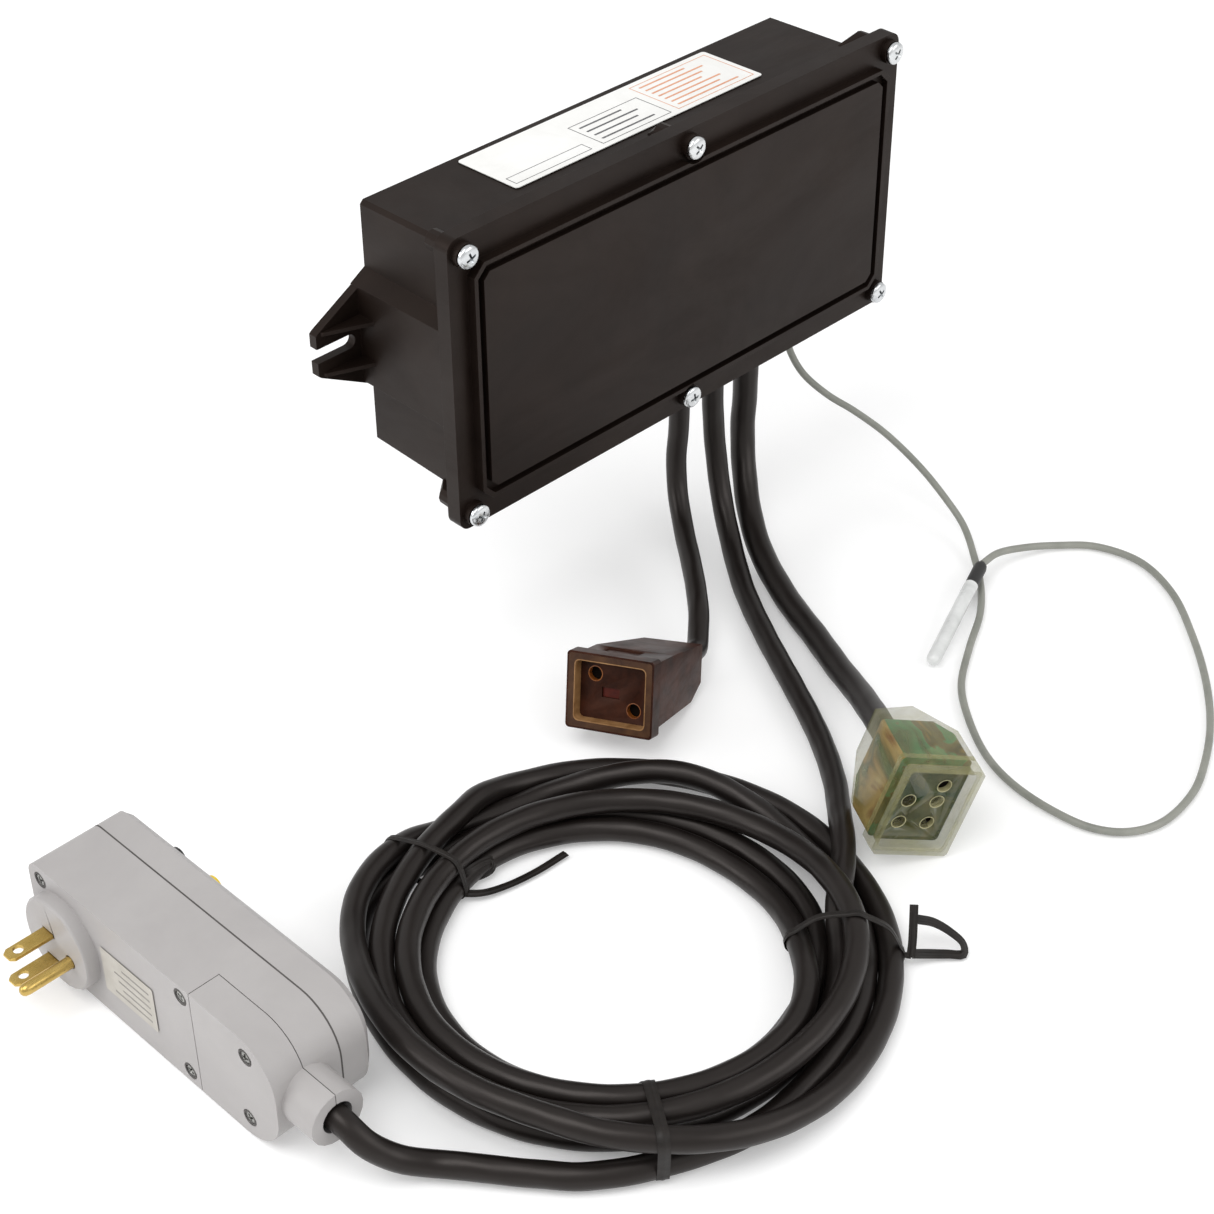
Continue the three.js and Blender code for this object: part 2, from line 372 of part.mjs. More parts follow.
// local axes: x right, y down, z backwards from the mating face (z = 0)
{
  // pump receptacle: square collar, wedge shaped grip, cord out of the rear corner
  const f = frameOf(null, [-0.32, -0.265, -0.91], [0.884, 0.261, -0.387], [-94.8, -110.4, -132.6]);
  const W = 19.2, H = 15.9;
  let b = S(prism(roundRect(W, H, 1.6), 'z', 0, 6.5));
  const w = 17.2, h = 13.8;
  b = b.add(S(hull([[-w, -h, 5], [w, -h, 5], [-w, h, 5], [w, h, 5], [-w, -h, 22], [w, -h, 24], [-w + 2, h - 2, 20], [w, h - 2, 24], [-8, -h + 1.2, 48], [w - 1, -h + 1.8, 53], [w - 1, 4.2, 53], [-5, 2, 48], [w - 1.5, 11, 45]])));
  b = cut(b, S(prism(roundRect(15.6, 12.4, 2), 'z', -1, 4.6)));
  const pins = [['live', -8.6, -6.6, 'r'], ['neutral', 8.8, 6.4, 'r'], ['ground', -1.6, 0.6, 's']];
  for (const [, x, y, k] of pins) b = cut(b, k === 'r' ? S(rod('z', 4, 19, 3.2, x, y, 14)) : S(box(x - 3.9, x + 3.9, y - 2.1, y + 2.1, 4, 19)));
  b = cut(b, S(rod('z', 44, 60, 4.7, 9.5, -6.5, 16)));      // socket the lead is moulded into
  add('pump_receptacle', b, 0x4a3226, 0.35, 0, f);
  for (const [n, x, y, k] of pins)
    add('pump_contact_' + n, k === 'r' ? cut(S(rod('z', 8, 18.6, 2.8, x, y, 12)), S(rod('z', 7, 16, 2.0, x, y, 12))) : cut(S(box(x - 3.5, x + 3.5, y - 1.7, y + 1.7, 8, 18.6)), S(box(x - 2.9, x + 2.9, y - 1.0, y + 1.0, 7, 16))), BRASS, 0.35, 1, f);
}
{
  // heater receptacle: clear collar and grip, five sockets
  const f = frameOf(null, [-0.227, 0.225, -0.947], [0.472, 0.88, 0.03], [-58.7, -243.2, -133.3]);
  const W = 17.9, H = 22.3;
  let b = S(prism([[-W + 1, -H], [W - 4, -H], [W, -H + 4], [W, H - 1], [W - 1, H], [-W + 4, H], [-W, H - 4], [-W, -H + 1]], 'z', 0, 6.5));
  const w = 16, h = 20.2;
  b = b.add(S(hull([[-w, -h, 5], [w, -h, 5], [-w, h - 3, 5], [-w + 3, h, 5], [w, h, 5], [-w, -h, 24], [w, -h, 24], [-w, h - 3, 24], [w, h - 3, 22], [-9, -13, 44], [8, -14, 46], [-9, 8, 44], [8, 6, 44]])));
  b = cut(b, S(prism(roundRect(14.2, 18.6, 1.5), 'z', -1, 5)));
  const pins = [[6.2, -8.6], [-6.2, -0.8], [6.2, -0.8], [-6.2, 9.8], [6.2, 9.8]];
  for (const [x, y] of pins) b = cut(b, S(rod('z', 4, 22, 3.1, x, y, 14)));
  add('heater_receptacle', b, 0xd8cf9a, 0.25, 0, f);
  pins.forEach(([x, y], i) => add('heater_contact_' + (i + 1), cut(S(rod('z', 8, 21.6, 2.7, x, y, 12)), S(rod('z', 7, 18, 1.95, x, y, 12))), BRASS, 0.35, 1, f));
}
const pumpRun = [[24.4, EXIT_Y, -80.3], [24.2, -34.1, -95], [22.3, -34.6, -110], [19.3, -38, -122], [14, -45.5, -131.2], [6.2, -56.4, -137], [-4.8, -70.9, -139.8], [-18.6, -87.3, -143.6], [-27.6, -95.8, -147.8], [-33.6, -100.6, -149.4], [-38.21, -102.36, -147.71], [-43.5, -103.92, -145.38], [-49.69, -105.75, -142.68]];
add('pump_cord', tube(pumpRun, PUMP_D, 10, 16), CORD, 0.45, 0);
const heaterRun = [[66.6, EXIT_Y, -80.3], [66.6, -34, -98], [64.6, -35, -114], [59.6, -40.6, -128], [48.9, -54.4, -142.6], [37.7, -72.1, -150.6], [24.3, -99, -154.3], [12.6, -126.3, -154.3], [0.5, -150, -151.8], [-9.5, -168.4, -147.6], [-21, -185.4, -141.6], [-29.5, -197, -136.6]];
add('heater_cord', tube(heaterRun, HEATER_D, 10, 12), CORD, 0.45, 0);

// ---------------------------------------------------------------- temperature probe and its lead
const sensorRun = [[92.6, EXIT_Y, -72.3], [92.6, -35.5, -84], [94.6, -42.5, -96], [100.6, -52.6, -106], [109, -62.6, -114.5], [115.6, -76, -123.5], [119.4, -94, -135], [120.2, -108, -144.6], [117.4, -122, -152], [106.6, -137.7, -157.2], [94.6, -150.5, -158.2], [78.5, -162.9, -158.2], [56.5, -174.5, -158.2], [34.7, -187.6, -158.2], [21, -201.6, -158.2], [6.3, -223.2, -158.2], [0.2, -241.1, -158.2], [-1.3, -261.4, -158.2], [1.3, -278.1, -158.2], [8.7, -289.1, -158.2], [22.2, -295.8, -158.2], [45.9, -294.6, -158.2], [67, -286.4, -158.2], [87.5, -274.6, -158.2], [108.5, -258.1, -158.2], [129.2, -237.5, -158.2], [149.4, -212.3, -158.2], [157.8, -189.2, -158.2], [153.3, -168.9, -158.2], [141.4, -156.8, -157.6], [127, -149.6, -154.8], [112, -145.6, -152.4], [100, -146.4, -151.6]];
add('sensor_cord', tube(sensorRun, SENSOR_D, 8, 48), 0xa9aaa0, 0.55, 0);
{
  // probe lying across the lead: potted grip sleeve and bulb
  const a = new THREE.Vector3(99.6, -146.5, -151.6), b = new THREE.Vector3(35.2, -171.1, -156.6);
  const dir = b.clone().sub(a).normalize(), start = a.clone().addScaledVector(dir, 0.0);
  const len = a.distanceTo(b);
  const prof = [[0, 0.3], [2.2, 0.3], [3.1, 2], [3.1, len - 3], [2.2, len - 0.8], [0, len]];
  const g = new THREE.LatheGeometry(prof.map((p) => new THREE.Vector2(p[0], p[1])), 12);
  const m = new THREE.Matrix4().makeRotationFromQuaternion(new THREE.Quaternion().setFromUnitVectors(new THREE.Vector3(0, 1, 0), dir));
  m.setPosition(start);
  g.applyMatrix4(m);
  add('sensor_probe', g, 0xb9bab2, 0.5, 0);
}

export default group;
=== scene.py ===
import json
import math
import random

import bmesh
import bpy
from mathutils import Matrix, Vector, noise


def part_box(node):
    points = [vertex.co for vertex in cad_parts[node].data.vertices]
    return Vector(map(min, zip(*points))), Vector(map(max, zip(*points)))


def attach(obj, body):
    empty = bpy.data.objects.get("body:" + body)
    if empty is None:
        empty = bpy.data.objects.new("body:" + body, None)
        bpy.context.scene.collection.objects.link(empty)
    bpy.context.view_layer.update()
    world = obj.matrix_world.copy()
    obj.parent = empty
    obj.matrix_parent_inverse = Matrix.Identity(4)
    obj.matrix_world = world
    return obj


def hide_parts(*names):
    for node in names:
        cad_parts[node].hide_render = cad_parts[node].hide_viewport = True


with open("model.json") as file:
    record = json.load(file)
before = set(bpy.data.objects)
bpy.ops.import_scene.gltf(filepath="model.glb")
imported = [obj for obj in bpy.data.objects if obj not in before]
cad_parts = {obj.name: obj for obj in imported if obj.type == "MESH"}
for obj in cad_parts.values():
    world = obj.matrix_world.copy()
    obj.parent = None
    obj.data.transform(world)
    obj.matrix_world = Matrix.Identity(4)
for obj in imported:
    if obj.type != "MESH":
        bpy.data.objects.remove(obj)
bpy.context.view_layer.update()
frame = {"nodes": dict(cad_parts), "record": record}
NODES = frame["nodes"]
BODY = "control_box"
MM = 0.001
rng = random.Random(7)
scene = bpy.context.scene


def V(x, y, z):
    return Vector((x, y, z)) * MM


# ------------------------------------------------------------------ camera
cam_data = bpy.data.cameras.new("camera")
cam_data.sensor_width = 36.0
cam_data.sensor_fit = "HORIZONTAL"
cam_data.lens = 73.41
cam_data.shift_x = -0.01428
cam_data.shift_y = -0.00883
cam_data.clip_start = 0.02
cam_data.clip_end = 20
cam = bpy.data.objects.new("camera", cam_data)
scene.collection.objects.link(cam)
fwd = Vector((0.5638, 0.5613, -0.6056)).normalized()
yaw, pitch, roll = math.radians(-45.131), math.radians(37.274), math.radians(-0.115)
fwd = Vector((math.cos(pitch) * math.sin(-yaw), math.cos(pitch) * math.cos(yaw), -math.sin(pitch)))
right = Vector((math.cos(yaw), math.sin(yaw), 0)).normalized()
down = fwd.cross(right).normalized()
cr_, sr_ = math.cos(roll), math.sin(roll)
r2 = right * cr_ - down * sr_
d2 = right * sr_ + down * cr_
m = Matrix.Identity(4)
for i in range(3):
    m[i][0] = r2[i]
    m[i][1] = -d2[i]
    m[i][2] = -fwd[i]
m.translation = V(-628.47, -650.19, 494.30)
cam.matrix_world = m
scene.camera = cam

# ------------------------------------------------------------------ material kit
def new_mat(name):
    mat = bpy.data.materials.new(name)
    mat.use_nodes = True
    nt = mat.node_tree
    for n in list(nt.nodes):
        nt.nodes.remove(n)
    out = nt.nodes.new("ShaderNodeOutputMaterial")
    b = nt.nodes.new("ShaderNodeBsdfPrincipled")
    nt.links.new(b.outputs[0], out.inputs["Surface"])
    return mat, nt, b


def noise_tex(nt, scale, detail=4.0, rough=0.6, coord="Object", stretch=None, distortion=0.0):
    tc = nt.nodes.new("ShaderNodeTexCoord")
    n = nt.nodes.new("ShaderNodeTexNoise")
    n.inputs["Scale"].default_value = scale
    n.inputs["Detail"].default_value = detail
    n.inputs["Roughness"].default_value = rough
    n.inputs["Distortion"].default_value = distortion
    if stretch:
        mp = nt.nodes.new("ShaderNodeMapping")
        mp.inputs["Scale"].default_value = stretch
        nt.links.new(tc.outputs[coord], mp.inputs["Vector"])
        nt.links.new(mp.outputs["Vector"], n.inputs["Vector"])
    else:
        nt.links.new(tc.outputs[coord], n.inputs["Vector"])
    return n


def ramp(nt, src, stops):
    r = nt.nodes.new("ShaderNodeValToRGB")
    els = r.color_ramp.elements
    while len(els) > 1:
        els.remove(els[-1])
    els[0].position = stops[0][0]
    els[0].color = stops[0][1]
    for p, c in stops[1:]:
        e = els.new(p)
        e.color = c
    nt.links.new(src, r.inputs["Fac"])
    return r


def g4(c, a=1.0):
    return (c[0], c[1], c[2], a)


def bump(nt, b, src, strength, dist):
    bp = nt.nodes.new("ShaderNodeBump")
    bp.inputs["Strength"].default_value = strength
    bp.inputs["Distance"].default_value = dist
    nt.links.new(src, bp.inputs["Height"])
    nt.links.new(bp.outputs["Normal"], b.inputs["Normal"])
    return bp


def grey(v):
    return (v, v, v, 1)


def plastic(name, c_lo, c_hi, r_lo, r_hi, patch=30.0, grain=2200.0, grain_h=0.03, spec=0.5, coat=0.0, edge=None, tint=None):
    """Moulded plastic: slow colour patches, handling smears in the gloss and a fine spark-eroded grain."""
    mat, nt, b = new_mat(name)
    n1 = noise_tex(nt, patch, 5, 0.62, distortion=0.4)
    col = ramp(nt, n1.outputs["Fac"], [(0.3, g4(c_lo)), (0.7, g4(c_hi))])
    if edge:
        geo = nt.nodes.new("ShaderNodeNewGeometry")
        er = ramp(nt, geo.outputs["Pointiness"], [(0.50, grey(0.0)), (0.56, grey(1.0))])
        mx = nt.nodes.new("ShaderNodeMix")
        mx.data_type = "RGBA"
        nt.links.new(er.outputs["Color"], mx.inputs["Factor"])
        nt.links.new(col.outputs["Color"], mx.inputs["A"])
        mx.inputs["B"].default_value = g4(edge)
        nt.links.new(mx.outputs["Result"], b.inputs["Base Color"])
    else:
        nt.links.new(col.outputs["Color"], b.inputs["Base Color"])
    n2 = noise_tex(nt, patch * 0.6, 6, 0.7, stretch=(1.0, 1.0, 2.3), distortion=0.8)
    rr = ramp(nt, n2.outputs["Fac"], [(0.28, grey(r_lo)), (0.72, grey(r_hi))])
    nt.links.new(rr.outputs["Color"], b.inputs["Roughness"])
    b.inputs["Specular IOR Level"].default_value = spec
    if tint:
        b.inputs["Specular Tint"].default_value = g4(tint)
    if coat:
        b.inputs["Coat Weight"].default_value = coat
        b.inputs["Coat Roughness"].default_value = 0.2
    n3 = noise_tex(nt, grain, 2, 0.5)
    bump(nt, b, n3.outputs["Fac"], grain_h * 4, 0.0001)
    return mat


def metal(name, c_lo, c_hi, r_lo, r_hi, scale=400.0, stretch=(1, 1, 12), h=0.05):
    mat, nt, b = new_mat(name)
    n1 = noise_tex(nt, 60, 5, 0.65)
    col = ramp(nt, n1.outputs["Fac"], [(0.3, g4(c_lo)), (0.7, g4(c_hi))])
    nt.links.new(col.outputs["Color"], b.inputs["Base Color"])
    b.inputs["Metallic"].default_value = 1.0
    n2 = noise_tex(nt, scale, 4, 0.6, stretch=stretch)
    rr = ramp(nt, n2.outputs["Fac"], [(0.3, grey(r_lo)), (0.7, grey(r_hi))])
    nt.links.new(rr.outputs["Color"], b.inputs["Roughness"])
    bump(nt, b, n2.outputs["Fac"], h * 3, 0.0001)
    return mat


M = {}
M["abs"] = plastic("abs_black", (0.0042, 0.0024, 0.0018), (0.0112, 0.0070, 0.0052), 0.36, 0.58, patch=17, grain=1500, grain_h=0.03, spec=0.2, tint=(1.0, 0.80, 0.72))
M["gasket"] = plastic("gasket_rubber", (0.02, 0.02, 0.02), (0.035, 0.035, 0.035), 0.75, 0.9, grain=900, grain_h=0.1)
M["zinc"] = metal("zinc_steel", (0.56, 0.58, 0.60), (0.75, 0.76, 0.76), 0.16, 0.34, scale=900, stretch=(1, 1, 1), h=0.02)
M["board"] = plastic("board_green", (0.01, 0.09, 0.03), (0.02, 0.14, 0.05), 0.25, 0.4, patch=120, grain=600)
M["core"] = metal("transformer_core", (0.10, 0.10, 0.11), (0.17, 0.16, 0.16), 0.4, 0.6, scale=900, stretch=(1, 30, 1), h=0.25)
M["relay"] = plastic("relay_blue", (0.015, 0.03, 0.16), (0.02, 0.045, 0.21), 0.25, 0.4)
M["cream"] = plastic("terminal_cream", (0.5, 0.46, 0.35), (0.6, 0.55, 0.43), 0.4, 0.55)
M["gland"] = plastic("gland_black", (0.010, 0.010, 0.010), (0.02, 0.019, 0.018), 0.42, 0.6, grain=1400)
M["cord"] = plastic("cord_black", (0.0056, 0.0040, 0.0034), (0.0102, 0.0080, 0.0072), 0.31, 0.46, patch=38, grain=900, grain_h=0.03, spec=0.34, tint=(1.0, 0.92, 0.88))
M["tie"] = plastic("tie_black", (0.0060, 0.0045, 0.0036), (0.0150, 0.0115, 0.0095), 0.38, 0.6, patch=200, grain=900, grain_h=0.05, spec=0.3)
M["plug"] = plastic("plug_grey", (0.350, 0.334, 0.330), (0.392, 0.376, 0.370), 0.38, 0.52, patch=22, grain=1800, grain_h=0.03, spec=0.4)
M["btn_black"] = plastic("button_black", (0.009, 0.009, 0.009), (0.016, 0.016, 0.016), 0.3, 0.42)
M["btn_yellow"] = plastic("button_yellow", (0.72, 0.50, 0.02), (0.82, 0.60, 0.04), 0.3, 0.42)
M["spring"] = metal("spring_steel", (0.45, 0.45, 0.45), (0.6, 0.6, 0.6), 0.2, 0.4)
M["zinc_dark"] = metal("zinc_dark", (0.20, 0.20, 0.19), (0.42, 0.42, 0.40), 0.25, 0.45, scale=900, stretch=(1, 1, 1), h=0.02)
M["seam"] = plastic("seam_shadow", (0.055, 0.050, 0.047), (0.085, 0.078, 0.074), 0.6, 0.8, patch=90)
M["brass"] = metal("blade_brass", (0.46, 0.31, 0.08), (0.70, 0.51, 0.18), 0.20, 0.42, scale=700, stretch=(1, 8, 8), h=0.03)
M["sensor"] = plastic("sensor_grey", (0.20, 0.205, 0.18), (0.27, 0.272, 0.24), 0.42, 0.56, patch=60, grain=1200)
M["contact"] = metal("contact_brass", (0.62, 0.45, 0.18), (0.8, 0.62, 0.3), 0.25, 0.45)


def paper(name):
    """White laminated sticker, blank but for a faint yellowing and fibre."""
    mat, nt, b = new_mat(name)
    n1 = noise_tex(nt, 45, 6, 0.7, distortion=0.6)
    col = ramp(nt, n1.outputs["Fac"], [(0.25, (0.74, 0.735, 0.71, 1)), (0.75, (0.84, 0.84, 0.825, 1))])
    nt.links.new(col.outputs["Color"], b.inputs["Base Color"])
    b.inputs["Roughness"].default_value = 0.42
    n3 = noise_tex(nt, 700, 3, 0.5)
    bump(nt, b, n3.outputs["Fac"], 0.08, 0.0001)
    return mat


M["label"] = paper("label_white")


def resin(name, tint_lo, tint_hi, a_lo, a_hi, rough, scale=55, local=None, stretch=(1, 1, 1)):
    """See-through moulding: cloudy flow marks in the tint and in how much shows through."""
    mat, nt, b = new_mat(name)
    n1 = noise_tex(nt, scale, 5, 0.6, distortion=1.2)
    col = ramp(nt, n1.outputs["Fac"], [(0.3, g4(tint_lo)), (0.7, g4(tint_hi))])
    nt.links.new(col.outputs["Color"], b.inputs["Base Color"])
    al = ramp(nt, n1.outputs["Fac"], [(0.3, grey(a_lo)), (0.7, grey(a_hi))])
    nt.links.new(al.outputs["Color"], b.inputs["Alpha"])
    n2 = noise_tex(nt, 90, 4, 0.6)
    rr = ramp(nt, n2.outputs["Fac"], [(0.3, grey(rough * 0.8)), (0.7, grey(rough * 1.3))])
    nt.links.new(rr.outputs["Color"], b.inputs["Roughness"])
    b.inputs["Specular IOR Level"].default_value = 0.7
    n3 = noise_tex(nt, 260, 3, 0.5)
    bump(nt, b, n3.outputs["Fac"], 0.15, 0.0002)
    return mat


def mottled(name, stops, matrix, stretch, scale=140, alpha=1.0, distortion=1.6):
    """Blurred colours of the wires as they show through the moulding, drawn out along its length."""
    mat, nt, b = new_mat(name)
    tc = nt.nodes.new("ShaderNodeTexCoord")
    inv = matrix.inverted()
    m1 = nt.nodes.new("ShaderNodeMapping")
    m1.inputs["Rotation"].default_value = inv.to_euler()
    m1.inputs["Location"].default_value = inv.to_translation()
    m2 = nt.nodes.new("ShaderNodeMapping")
    m2.inputs["Scale"].default_value = stretch
    n = nt.nodes.new("ShaderNodeTexNoise")
    n.inputs["Scale"].default_value = scale
    n.inputs["Detail"].default_value = 3
    n.inputs["Distortion"].default_value = distortion
    nt.links.new(tc.outputs["Object"], m1.inputs["Vector"])
    nt.links.new(m1.outputs["Vector"], m2.inputs["Vector"])
    nt.links.new(m2.outputs["Vector"], n.inputs["Vector"])
    col = ramp(nt, n.outputs["Fac"], stops)
    nt.links.new(col.outputs["Color"], b.inputs["Base Color"])
    rr = ramp(nt, n.outputs["Fac"], [(0.3, grey(0.25)), (0.7, grey(0.45))])
    nt.links.new(rr.outputs["Color"], b.inputs["Roughness"])
    b.inputs["Alpha"].default_value = alpha
    return mat


M["amber"] = plastic("receptacle_amber", (0.0085, 0.0020, 0.0012), (0.046, 0.0130, 0.0062), 0.30, 0.52, patch=95, grain=420, grain_h=0.07, spec=0.22, tint=(1.0, 0.72, 0.6))
# lighter copy of the amber moulding for the front collar face: painted light
M["amber_rim_painted_light"] = plastic("amber_rim_painted_light", (0.032, 0.0115, 0.0048), (0.082, 0.036, 0.014), 0.28, 0.45, patch=130, grain=420, grain_h=0.05, spec=0.3)
# bright golden copy of the amber moulding: painted light glowing through the thin rim wall
M["amber_painted_glow"] = plastic("amber_painted_glow", (0.17, 0.080, 0.026), (0.36, 0.20, 0.085), 0.28, 0.42, patch=160, grain=420, spec=0.35)
M["socket_amber"] = plastic("socket_amber", (0.15, 0.040, 0.007), (0.30, 0.095, 0.015), 0.3, 0.42, patch=200)
M["slot_red"] = plastic("slot_red", (0.040, 0.0045, 0.002), (0.075, 0.009, 0.0035), 0.4, 0.6, patch=300, spec=0.2)
# near-black disc material for the bottom of socket holes: painted shadow
M["hole_painted_shadow"] = plastic("hole_painted_shadow", (0.003, 0.002, 0.0012), (0.007, 0.004, 0.0025), 0.7, 0.9, spec=0.05)
M["clear"] = resin("receptacle_clear", (0.15, 0.145, 0.045), (0.34, 0.32, 0.13), 0.28, 0.44, 0.10, scale=60)
M["clear_face"] = resin("clear_face", (0.022, 0.050, 0.018), (0.115, 0.100, 0.035), 0.90, 0.97, 0.22, scale=75)
M["socket_cream"] = plastic("socket_cream", (0.34, 0.31, 0.15), (0.55, 0.52, 0.30), 0.25, 0.4, patch=250)
M["wire_green"] = plastic("wire_green", (0.008, 0.16, 0.065), (0.015, 0.26, 0.11), 0.25, 0.4, patch=120)
M["wire_red"] = plastic("wire_red", (0.22, 0.035, 0.015), (0.34, 0.06, 0.03), 0.25, 0.4, patch=120)
M["wire_yellow"] = plastic("wire_yellow", (0.55, 0.30, 0.03), (0.70, 0.42, 0.06), 0.25, 0.4, patch=120)
M["wire_black"] = plastic("wire_black", (0.008, 0.008, 0.008), (0.016, 0.016, 0.016), 0.3, 0.4, patch=120)
M["contact_dark"] = metal("contact_dark", (0.11, 0.055, 0.018), (0.18, 0.09, 0.035), 0.35, 0.5)
M["sticker"] = plastic("sticker_paper", (0.40, 0.375, 0.33), (0.50, 0.475, 0.43), 0.4, 0.55, patch=90, grain=900)
M["ink_soft"] = plastic("ink_soft", (0.20, 0.185, 0.17), (0.28, 0.26, 0.24), 0.45, 0.55, patch=300)


def assign(obj, mat):
    obj.data.materials.clear()
    obj.data.materials.append(mat)
    for p in getattr(obj.data, "polygons", []):
        p.material_index = 0


def link(obj):
    scene.collection.objects.link(obj)
    return obj


def mesh_obj(name, verts, faces, mat=None, smooth_angle=40):
    me = bpy.data.meshes.new(name)
    me.from_pydata([tuple(v) for v in verts], [], faces)
    me.validate()
    me.update()
    o = link(bpy.data.objects.new(name, me))
    if mat:
        assign(o, mat)
    shade(o, smooth_angle)
    return o


def shade(o, angle=40):
    me = o.data
    for p in me.polygons:
        p.use_smooth = True
    bm = bmesh.new()
    bm.from_mesh(me)
    lim = math.radians(angle)
    for e in bm.edges:
        if len(e.link_faces) == 2:
            e.smooth = e.calc_face_angle(0) < lim
        else:
            e.smooth = False
    bm.to_mesh(me)
    bm.free()


def bm_obj(name, bm, mat=None, angle=40):
    bmesh.ops.recalc_face_normals(bm, faces=bm.faces)
    me = bpy.data.meshes.new(name)
    bm.to_mesh(me)
    bm.free()
    o = link(bpy.data.objects.new(name, me))
    if mat:
        assign(o, mat)
    shade(o, angle)
    return o


def apply_mods(o):
    bpy.context.view_layer.update()
    dg = bpy.context.evaluated_depsgraph_get()
    me = bpy.data.meshes.new_from_object(o.evaluated_get(dg), depsgraph=dg)
    old = o.data
    o.modifiers.clear()
    o.data = me
    bpy.data.meshes.remove(old)
    return o


def cutter(o, cut_obj, op="DIFFERENCE"):
    md = o.modifiers.new("b", "BOOLEAN")
    md.operation = op
    md.solver = "EXACT"
    md.object = cut_obj
    apply_mods(o)
    bpy.data.objects.remove(cut_obj)
    return o


def refined(node, mat, width, segments=2, name=None, angle=28, merge=0.00002):
    """A finished copy of a machined or moulded piece: same shape, with its real edge radii."""
    src = NODES[node]
    me = src.data.copy()
    o = link(bpy.data.objects.new(name or (node + "_body"), me))
    bm = bmesh.new()
    bm.from_mesh(me)
    bmesh.ops.remove_doubles(bm, verts=bm.verts, dist=merge)
    bmesh.ops.dissolve_limit(bm, angle_limit=math.radians(1.5), verts=bm.verts, edges=bm.edges)
    bm.to_mesh(me)
    bm.free()
    md = o.modifiers.new("bev", "BEVEL")
    md.width = width
    md.segments = segments
    md.limit_method = "ANGLE"
    md.angle_limit = math.radians(angle)
    md.use_clamp_overlap = True
    md.miter_outer = "MITER_ARC"
    md.harden_normals = False
    for p in me.polygons:
        p.use_smooth = True
    wn = o.modifiers.new("wn", "WEIGHTED_NORMAL")
    wn.mode = "FACE_AREA"
    wn.weight = 100
    wn.keep_sharp = False
    apply_mods(o)
    assign(o, mat)
    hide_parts(node)
    return o


def catmull(points, step):
    """Centripetal curve through the points, resampled at an even step."""
    P = [2 * points[0] - points[1]] + list(points) + [2 * points[-1] - points[-2]]
    out = []
    for i in range(1, len(P) - 2):
        p0, p1, p2, p3 = P[i - 1], P[i], P[i + 1], P[i + 2]
        t0 = 0.0
        t1 = t0 + max((p1 - p0).length, 1e-9) ** 0.5
        t2 = t1 + max((p2 - p1).length, 1e-9) ** 0.5
        t3 = t2 + max((p3 - p2).length, 1e-9) ** 0.5
        k = max(4, int((p2 - p1).length / step * 2))
        for j in range(k):
            t = t1 + (t2 - t1) * j / k
            a1 = p0 * ((t1 - t) / (t1 - t0)) + p1 * ((t - t0) / (t1 - t0))
            a2 = p1 * ((t2 - t) / (t2 - t1)) + p2 * ((t - t1) / (t2 - t1))
            a3 = p2 * ((t3 - t) / (t3 - t2)) + p3 * ((t - t2) / (t3 - t2))
            b1 = a1 * ((t2 - t) / (t2 - t0)) + a2 * ((t - t0) / (t2 - t0))
            b2 = a2 * ((t3 - t) / (t3 - t1)) + a3 * ((t - t1) / (t3 - t1))
            out.append(b1 * ((t2 - t) / (t2 - t1)) + b2 * ((t - t1) / (t2 - t1)))
    out.append(P[-2])
    s = [0.0]
    for a, b in zip(out, out[1:]):
        s.append(s[-1] + (b - a).length)
    n = max(2, int(round(s[-1] / step)))
    res, k = [], 0
    for i in range(n + 1):
        d = s[-1] * i / n
        while k < len(s) - 2 and s[k + 1] < d:
            k += 1
        f = (d - s[k]) / max(s[k + 1] - s[k], 1e-12)
        res.append(out[k].lerp(out[k + 1], min(max(f, 0), 1)))
    return res, s[-1]


def frames(pts):
    """Rotation-free frames along a path."""
    tang = []
    for i in range(len(pts)):
        a = pts[max(i - 1, 0)]
        b = pts[min(i + 1, len(pts) - 1)]
        tang.append((b - a).normalized())
    u = tang[0].orthogonal().normalized()
    out = []
    for i, t in enumerate(tang):
        if i:
            axis = tang[i - 1].cross(t)
            if axis.length > 1e-9:
                u = Matrix.Rotation(tang[i - 1].angle(t), 3, axis.normalized()) @ u
        u = (u - t * u.dot(t)).normalized()
        out.append((t, u, t.cross(u).normalized()))
    return out


def tube(name, pts, radius, mat, sides=18, seam=0.0, lay=0.0, lay_len=0.055, taper=None, ends=True):
    """Round jacket with the faint bulge of twisted cores under it and a fine moulding seam."""
    fr = frames(pts)
    verts, faces = [], []
    s = 0.0
    for i, p in enumerate(pts):
        if i:
            s += (pts[i] - pts[i - 1]).length
        t, u, w = fr[i]
        rad = radius if taper is None else taper(i / (len(pts) - 1)) * radius
        for k in range(sides):
            a = 2 * math.pi * k / sides
            r = rad * (1 + lay * math.cos(3 * (a - 2 * math.pi * s / lay_len)))
            if seam and k == 0:
                r += seam
            verts.append(p + u * (r * math.cos(a)) + w * (r * math.sin(a)))
    n = len(pts)
    for i in range(n - 1):
        for k in range(sides):
            a, b = i * sides + k, i * sides + (k + 1) % sides
            faces.append((a, b, b + sides, a + sides))
    if ends:
        faces.append(tuple(reversed(range(sides))))
        faces.append(tuple((n - 1) * sides + k for k in range(sides)))
    return mesh_obj(name, verts, faces, mat, 60)


